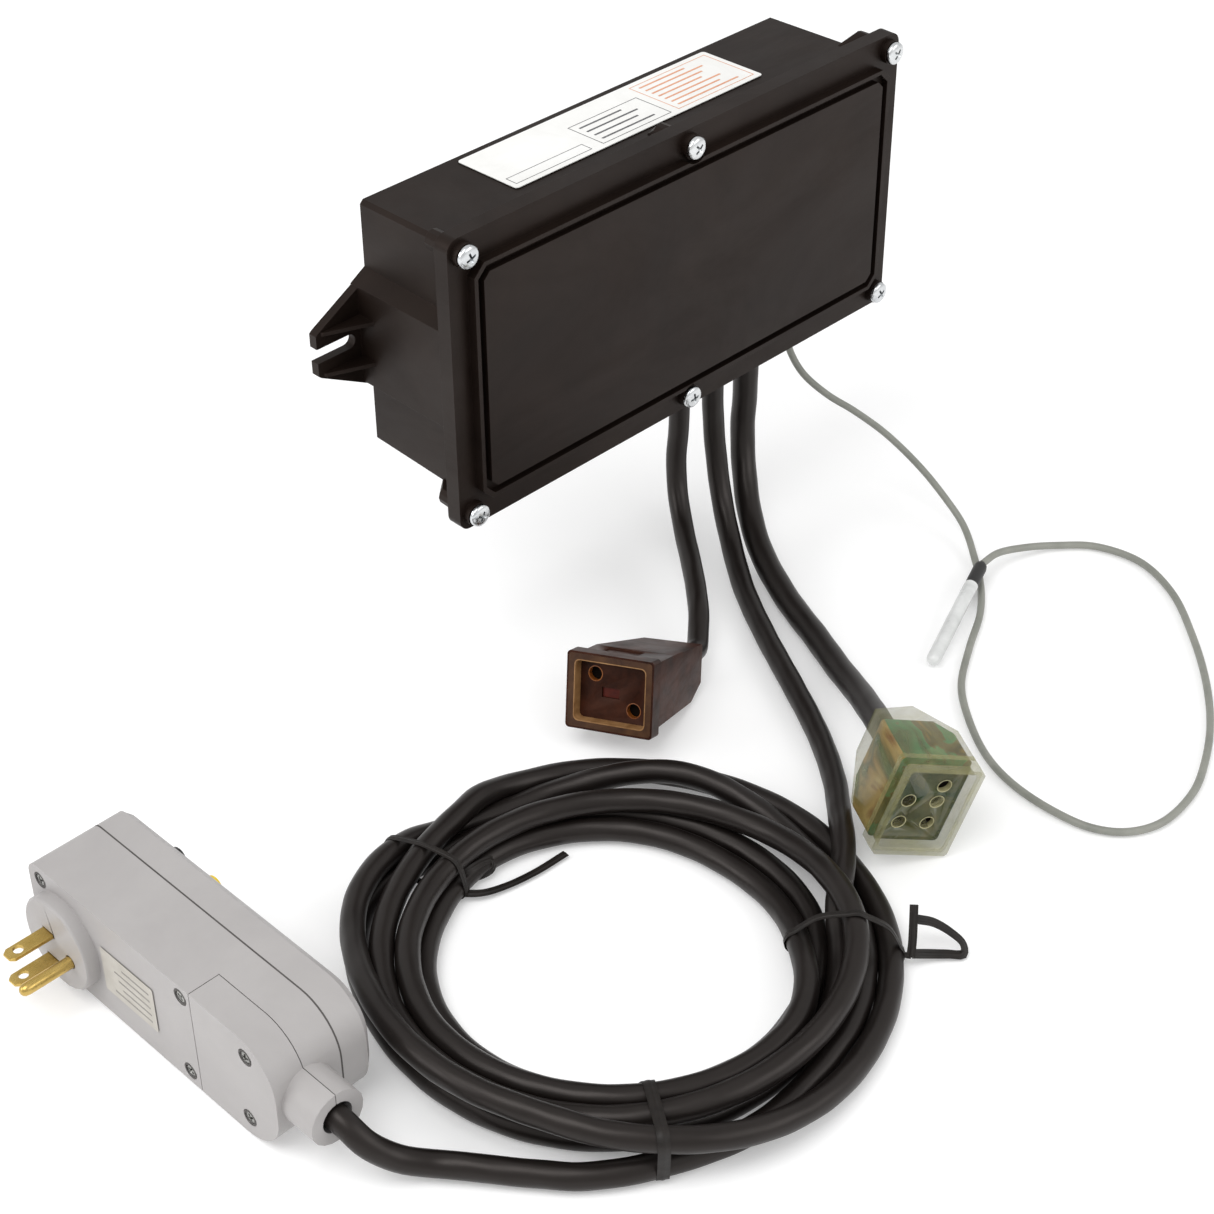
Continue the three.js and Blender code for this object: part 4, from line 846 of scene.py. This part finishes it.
# pump receptacle, dark amber
o = refined("pump_receptacle", M["amber"], 0.0006, 3, angle=22)
cutter(o, box_cut(FP, -10.5, 5.5, -17, -13.05, 9.5, 20.5))
finish(o)
# thin frame over the front collar: the same amber made lighter, painted light on the face towards the lamps
rim = loft("pump_rim", [at(FP, rrect(18.4, 15.1, 1.4, -0.02)), at(FP, rrect(18.4, 15.1, 1.4, -0.05)), at(FP, rrect(15.9, 12.7, 2.2, -0.05)), at(FP, rrect(15.9, 12.7, 2.2, -0.02))], M["amber_rim_painted_light"], close=False)
finish(rim)
# inner wall of the rim in the bright amber: painted glow of light through the wall
rim_wall_painted_glow = loft("pump_rim_wall", [at(FP, rrect(15.9, 12.7, 2.2, -0.06)), at(FP, rrect(15.5, 12.3, 2.0, -0.06)), at(FP, rrect(15.1, 11.9, 2.0, 4.5)), at(FP, rrect(15.58, 12.38, 2.0, 4.5))], M["amber_painted_glow"], close=False)
finish(rim_wall_painted_glow)
for i_, (x_, y_) in enumerate(((-8.6, -6.6), (8.8, 6.4))):
    q = loft(f"pump_socket_{i_ + 1}", [at(FP, circle(x_, y_, 3.25, 4.55)), at(FP, circle(x_, y_, 2.9, 4.52)), at(FP, circle(x_, y_, 2.85, 7.9)), at(FP, circle(x_, y_, 3.1, 7.9))], M["socket_amber"], close=False)
    finish(q)
    # dark disc down in each socket hole: painted shadow
    q = loft(f"pump_socket_floor_{i_ + 1}", [at(FP, circle(x_, y_, 2.8, 7.0)), at(FP, circle(x_, y_, 2.8, 7.2))], M["hole_painted_shadow"])
    finish(q)
q = loft("pump_slot_floor", [at(FP, [Vector((a_, b_, 5.4)) * MM for a_, b_ in ((-5.4, -1.4), (2.2, -1.4), (2.2, 2.6), (-5.4, 2.6))]), at(FP, [Vector((a_, b_, 5.6)) * MM for a_, b_ in ((-5.4, -1.4), (2.2, -1.4), (2.2, 2.6), (-5.4, 2.6))])], M["slot_red"])
finish(q)
for n in ("live", "neutral", "ground"):
    assign(NODES["pump_contact_" + n], M["contact_dark"])

# heater receptacle, clear, with the moulded-in wires showing
o = refined("heater_receptacle", M["clear"], 0.0007, 3, angle=22)
finish(o)
M["wires"] = mottled("wires_blurred", [(0.30, (0.012, 0.030, 0.012, 1)), (0.40, (0.008, 0.13, 0.050, 1)), (0.48, (0.015, 0.24, 0.105, 1)), (0.53, (0.10, 0.055, 0.022, 1)), (0.60, (0.055, 0.042, 0.022, 1)), (0.68, (0.26, 0.135, 0.03, 1))], FH, (1.0, 1.0, 0.36), scale=82, alpha=0.92, distortion=0.9)
core = loft("heater_core", [at(FH, rrect(15.3, 19.5, 2.0, 7.4)), at(FH, rrect(15.3, 19.5, 2.0, 23.4)), at(FH, [Vector((p.x * 0.78, p.y * 0.76 - 0.0018, p.z)) for p in rrect(15.3, 19.5, 2.0, 33.5)])], M["wires"])
M["wires_tan"] = mottled("wires_tan", [(0.28, (0.010, 0.12, 0.045, 1)), (0.38, (0.05, 0.05, 0.015, 1)), (0.46, (0.30, 0.17, 0.045, 1)), (0.56, (0.46, 0.29, 0.10, 1)), (0.63, (0.20, 0.045, 0.02, 1)), (0.70, (0.02, 0.016, 0.010, 1))], FH, (1.0, 1.0, 0.34), scale=64, alpha=0.9, distortion=0.8)
core.data.materials.append(M["wires_tan"])
side_dir = -(FH.to_3x3().col[0])
for p in core.data.polygons:
    if p.normal.dot(side_dir) > 0.5:
        p.material_index = 1
finish(core)
HP = [(6.2, -8.6), (-6.2, -0.8), (6.2, -0.8), (-6.2, 9.8), (6.2, 9.8)]
for i_, ((x_, y_), key, sx_, sy_) in enumerate(zip(HP, ("wire_green", "wire_red", "wire_green", "wire_yellow", "wire_black"), (2.2, -2.6, 3.2, -3.2, 0.6), (-5.2, -4.6, -1.6, -0.8, 1.4))):
    route = [FH @ (Vector(v) * MM) for v in ((sx_, sy_ - 1, 36), (sx_ * 1.6, sy_ * 1.1, 31), (x_ * 1.25, y_ * 1.15, 25), (x_ * 1.2, y_ * 1.1, 22.4))]
    wp, _ = catmull(route, 0.0012)
    finish(tube(f"heater_wire_{i_ + 1}", wp, 0.0021, M[key], sides=12))
face = loft("heater_face", [at(FH, rrect(14.1, 18.5, 1.5, 4.98)), at(FH, rrect(14.1, 18.5, 1.5, 4.75))], M["clear_face"])
for x_, y_ in HP:
    cutter(face, loft("cut", [at(FH, circle(x_, y_, 3.0, 4.2)), at(FH, circle(x_, y_, 3.0, 5.6))], None))
finish(face)
for i_, (x_, y_) in enumerate(HP):
    q = loft(f"heater_socket_{i_ + 1}", [at(FH, circle(x_, y_, 3.05, 4.74)), at(FH, circle(x_, y_, 2.75, 4.74)), at(FH, circle(x_, y_, 2.7, 7.9)), at(FH, circle(x_, y_, 3.05, 7.9))], M["socket_cream"], close=False)
    finish(q)
    # dark disc down in each socket hole: painted shadow
    q = loft(f"heater_socket_floor_{i_ + 1}", [at(FH, circle(x_, y_, 2.65, 7.0)), at(FH, circle(x_, y_, 2.65, 7.2))], M["hole_painted_shadow"])
    finish(q)
ledge = loft("heater_ledge", [at(FH, rrect(16.1, 20.4, 2.0, -0.03)), at(FH, rrect(15.6, 19.9, 2.0, -0.35)), at(FH, rrect(14.4, 18.8, 1.6, -0.35)), at(FH, rrect(14.2, 18.6, 1.5, -0.03))], M["clear"], close=False)
finish(ledge)

# ------------------------------------------------------------------ probe
a, b = V(99.6, -146.5, -151.6), V(35.2, -171.1, -156.6)
mx = axis_frame(a, (b - a))
L = (b - a).length / MM
dark = bm_obj("probe_potting", revolve([(0, 0.0003), (0.0019, 0.0003), (0.0026, 0.0012), (0.00295, 0.003), (0.00295, 0.0185), (0, 0.0185)], 24), M["gland"], 40)
dark.data.transform(mx)
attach(dark, BODY)
M["probe"] = resin("probe_white", (0.62, 0.63, 0.62), (0.76, 0.77, 0.76), 0.88, 0.96, 0.3)
prof = [(0, 0.0152), (0.00305, 0.0152), (0.0031, 0.016)] + [(0.0031, 0.016 + (L - 19.2) * MM * i / 6) for i in range(1, 7)]
prof += [(0.0031 * math.cos(math.radians(a_)), (L - 3.2) * MM + 0.0031 * math.sin(math.radians(a_))) for a_ in (15, 30, 45, 60, 75)] + [(0, (L - 0.1) * MM)]
prof[0] = (0, 0.0152)
white = bm_obj("probe_sleeve", revolve(prof, 24), M["probe"], 40)
white.data.transform(mx)
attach(white, BODY)
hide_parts("sensor_probe")

# ------------------------------------------------------------------ wire ties
def ribbon(name, pts, width, thick, mat, up=None):
    """Flat plastic-coated tie: two thin wings with a wire down the middle."""
    fr = frames(pts)
    prof = []
    for x, y in ((-0.5, -0.18), (-0.5, 0.18), (-0.2, 0.22), (-0.14, 0.5), (0.0, 0.62), (0.14, 0.5), (0.2, 0.22), (0.5, 0.18), (0.5, -0.18), (0.2, -0.22), (0.0, -0.5), (-0.2, -0.22)):
        prof.append((x * width, y * thick))
    verts, faces = [], []
    for i, p in enumerate(pts):
        t = fr[i][0]
        n_ = up(i, p) if up else Vector((0, 0, 1))
        n_ = (n_ - t * n_.dot(t))
        n_ = n_.normalized() if n_.length > 1e-6 else fr[i][1]
        w_ = t.cross(n_).normalized()
        for x, y in prof:
            verts.append(p + w_ * x + n_ * y)
    c = len(prof)
    for i in range(len(pts) - 1):
        for k_ in range(c):
            a_, b_ = i * c + k_, i * c + (k_ + 1) % c
            faces.append((a_, b_, b_ + c, a_ + c))
    faces.append(tuple(reversed(range(c))))
    faces.append(tuple((len(pts) - 1) * c + k_ for k_ in range(c)))
    return mesh_obj(name, verts, faces, mat, 30)


CC = Vector((-178, -196, 0)) * MM


def bundle_section(deg):
    """Hull of the strands that cross a radial plane of the coil: (radius, z) points."""
    a_ = math.radians(deg)
    rad = Vector((math.cos(a_), math.sin(a_), 0))
    tan = Vector((-math.sin(a_), math.cos(a_), 0))
    hits = []
    for p, q in zip(mains_pts, mains_pts[1:]):
        dp, dq = (p - CC).dot(tan), (q - CC).dot(tan)
        if dp * dq <= 0 and abs(dp - dq) > 1e-9:
            f = dp / (dp - dq)
            x = p.lerp(q, f)
            r = (x - CC).dot(rad)
            if 0.05 < r < 0.125:
                hits.append((r, x.z))
    return hits, rad, tan


def tie_loop(name, node, deg, tails, width=0.0030, thick=0.00045, bow=0.0):
    hits, rad, tan = bundle_section(deg)
    cloud = []
    for r, z in hits:
        for k_ in range(16):
            t = 2 * math.pi * k_ / 16
            cloud.append((r + 0.0052 * math.cos(t), max(z + 0.0052 * math.sin(t), -0.1603)))
    cloud = sorted(set(cloud))

    def half(ps):
        h = []
        for p in ps:
            while len(h) >= 2 and (h[-1][0] - h[-2][0]) * (p[1] - h[-2][1]) - (h[-1][1] - h[-2][1]) * (p[0] - h[-2][0]) <= 0:
                h.pop()
            h.append(p)
        return h

    lower = half(cloud)
    upper = half(list(reversed(cloud)))
    ring = lower[:-1] + upper[:-1]
    if bow:
        full = []
        for i_, p in enumerate(ring):
            q = ring[(i_ + 1) % len(ring)]
            full.append(p)
            dx, dz = q[0] - p[0], q[1] - p[1]
            run = math.hypot(dx, dz)
            if run > 0.009 and -dx > 0 and p[1] > -0.1595:
                full.append((p[0] + dx * 0.5 + dz / run * run * bow, p[1] + dz * 0.5 - dx / run * run * bow))
        ring = full
    pts3 = [CC + rad * r + Vector((0, 0, z)) for r, z in ring]
    for p in pts3:
        pass
    loop, _ = catmull(pts3 + [pts3[0]], 0.0012)
    cen = sum(pts3, Vector()) / len(pts3)
    o = ribbon(name, loop, width, thick, M["tie"], up=lambda i, p: (p - cen))
    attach(o, BODY)
    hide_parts(node)
    for j, tail in enumerate(tails):
        tp, _ = catmull([V(*p) for p in tail], 0.0015)
        q = ribbon(f"{name}_tail_{j + 1}", tp, width, thick, M["tie"], up=lambda i, p: Vector((0.35 * math.sin(i * 0.09), 0.2, 1)))
        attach(q, BODY)
    return o


def tail(name, route, width, normals, thick=0.0005):
    """Free end of a tie; the flat side faces along the given directions from one end to the other."""
    tp, _ = catmull([V(*p) for p in route], 0.0012)
    n_ = len(tp) - 1
    ns = [Vector(v).normalized() for v in normals]

    def side(i, p):
        f = i / n_ * (len(ns) - 1)
        k_ = min(int(f), len(ns) - 2)
        return ns[k_].lerp(ns[k_ + 1], f - k_)

    q = ribbon(name, tp, width, thick, M["tie"], up=side)
    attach(q, BODY)


UP = (0, 0, 1)
TO_CAM = (-0.62, -0.62, 0.48)
tie_loop("wire_tie_upper", "cord_tie_upper", 105, [], width=0.0028)
tail("wire_tie_upper_end", [[-199.5, -128.6, -156.4], [-190.2, -137.1, -157.6], [-180.4, -140.3, -158.6], [-166.9, -142.6, -158.9], [-151.3, -143.4, -158.9]], 0.0033, [(-0.3, -0.2, 1), UP, UP])
tail("wire_tie_upper_fold", [[-194.5, -129.6, -153], [-190, -131.6, -149.6], [-182.5, -131.2, -150.6], [-178.0, -131.2, -152.6], [-178.6, -132.0, -155.6], [-183.5, -130.6, -157.4], [-189.7, -127.6, -158.2]], 0.0030, [TO_CAM, (-0.3, -0.5, 0.8), (0.4, -0.6, 0.5), UP])
tie_loop("wire_tie_right", "cord_tie_right", -46, [], width=0.0032, bow=0.13)
tail("wire_tie_right_stub", [[-104.0, -274.6, -155.5], [-101.8, -273.2, -150.5], [-98.4, -270.4, -145.2], [-95.2, -267.6, -139.8]], 0.0032, [TO_CAM, TO_CAM])
tail("wire_tie_right_fold", [[-93.6, -268.4, -147.8], [-88.8, -272.4, -150.0], [-85.6, -278.4, -153.2], [-84.6, -283.6, -156.2], [-86.6, -285.6, -158.4], [-91.0, -281.6, -158.2], [-98.0, -276.6, -156.6], [-103.2, -274.4, -154.4]], 0.0036, [(-0.2, -0.55, 0.8), (0.1, -0.5, 0.85), (0.3, -0.6, 0.6), (-0.4, -0.4, 0.8)])
tail("wire_tie_right_twist", [[-107.6, -270.2, -153.2], [-105.6, -272.2, -154.6], [-103.4, -274.4, -155.4]], 0.0022, [UP, TO_CAM], thick=0.0009)
tie_loop("wire_tie_lower", "cord_tie_lower", -126, [], width=0.0044)

# ------------------------------------------------------------------ plug parts, gathered in a list
plug_set = [NODES[n] for n in NODES if n.startswith("plug_")]

# ------------------------------------------------------------------ floor and light
bm = bmesh.new()
vs = [bm.verts.new(V(x, y, -160.7)) for x, y in ((-6000, -6000), (6000, -6000), (6000, 6000), (-6000, 6000))]
bm.faces.new(vs)
floor = bm_obj("floor", bm)
fm, nt, b = new_mat("floor_pale")
n1 = noise_tex(nt, 1.5, 3, 0.5)
col = ramp(nt, n1.outputs["Fac"], [(0.3, (0.80, 0.80, 0.80, 1)), (0.7, (0.82, 0.82, 0.82, 1))])
nt.links.new(col.outputs["Color"], b.inputs["Base Color"])
b.inputs["Roughness"].default_value = 0.8
b.inputs["Specular IOR Level"].default_value = 0.1
b.inputs["Emission Color"].default_value = (1, 1, 1, 1)
b.inputs["Emission Strength"].default_value = 0.22
assign(floor, fm)

world = bpy.data.worlds.new("studio")
scene.world = world
world.use_nodes = True
bg = world.node_tree.nodes["Background"]
bg.inputs["Color"].default_value = (1.0, 1.0, 1.0, 1)
bg.inputs["Strength"].default_value = 0.75


def softbox(name, loc, target, size, power, colour=(1, 1, 1)):
    ld = bpy.data.lights.new(name, "AREA")
    ld.shape = "RECTANGLE"
    ld.size, ld.size_y = size
    ld.energy = power
    ld.color = colour
    o = bpy.data.objects.new(name, ld)
    link(o)
    loc, target = Vector(loc), Vector(target)
    o.matrix_world = Matrix.Translation(loc) @ (target - loc).to_track_quat("-Z", "Y").to_matrix().to_4x4()
    return o


softbox("key", (-0.9, -0.2, 1.5), (-0.05, -0.1, -0.05), (1.2, 1.0), 14)
softbox("fill", (0.6, -1.6, 0.9), (-0.05, -0.1, -0.05), (1.4, 1.0), 9)
softbox("back", (-1.5, 0.7, 0.7), (-0.1, -0.1, -0.05), (0.9, 0.7), 7)
scene.view_settings.view_transform = "Standard"
scene.view_settings.look = "None"
scene.view_settings.exposure = 0.0
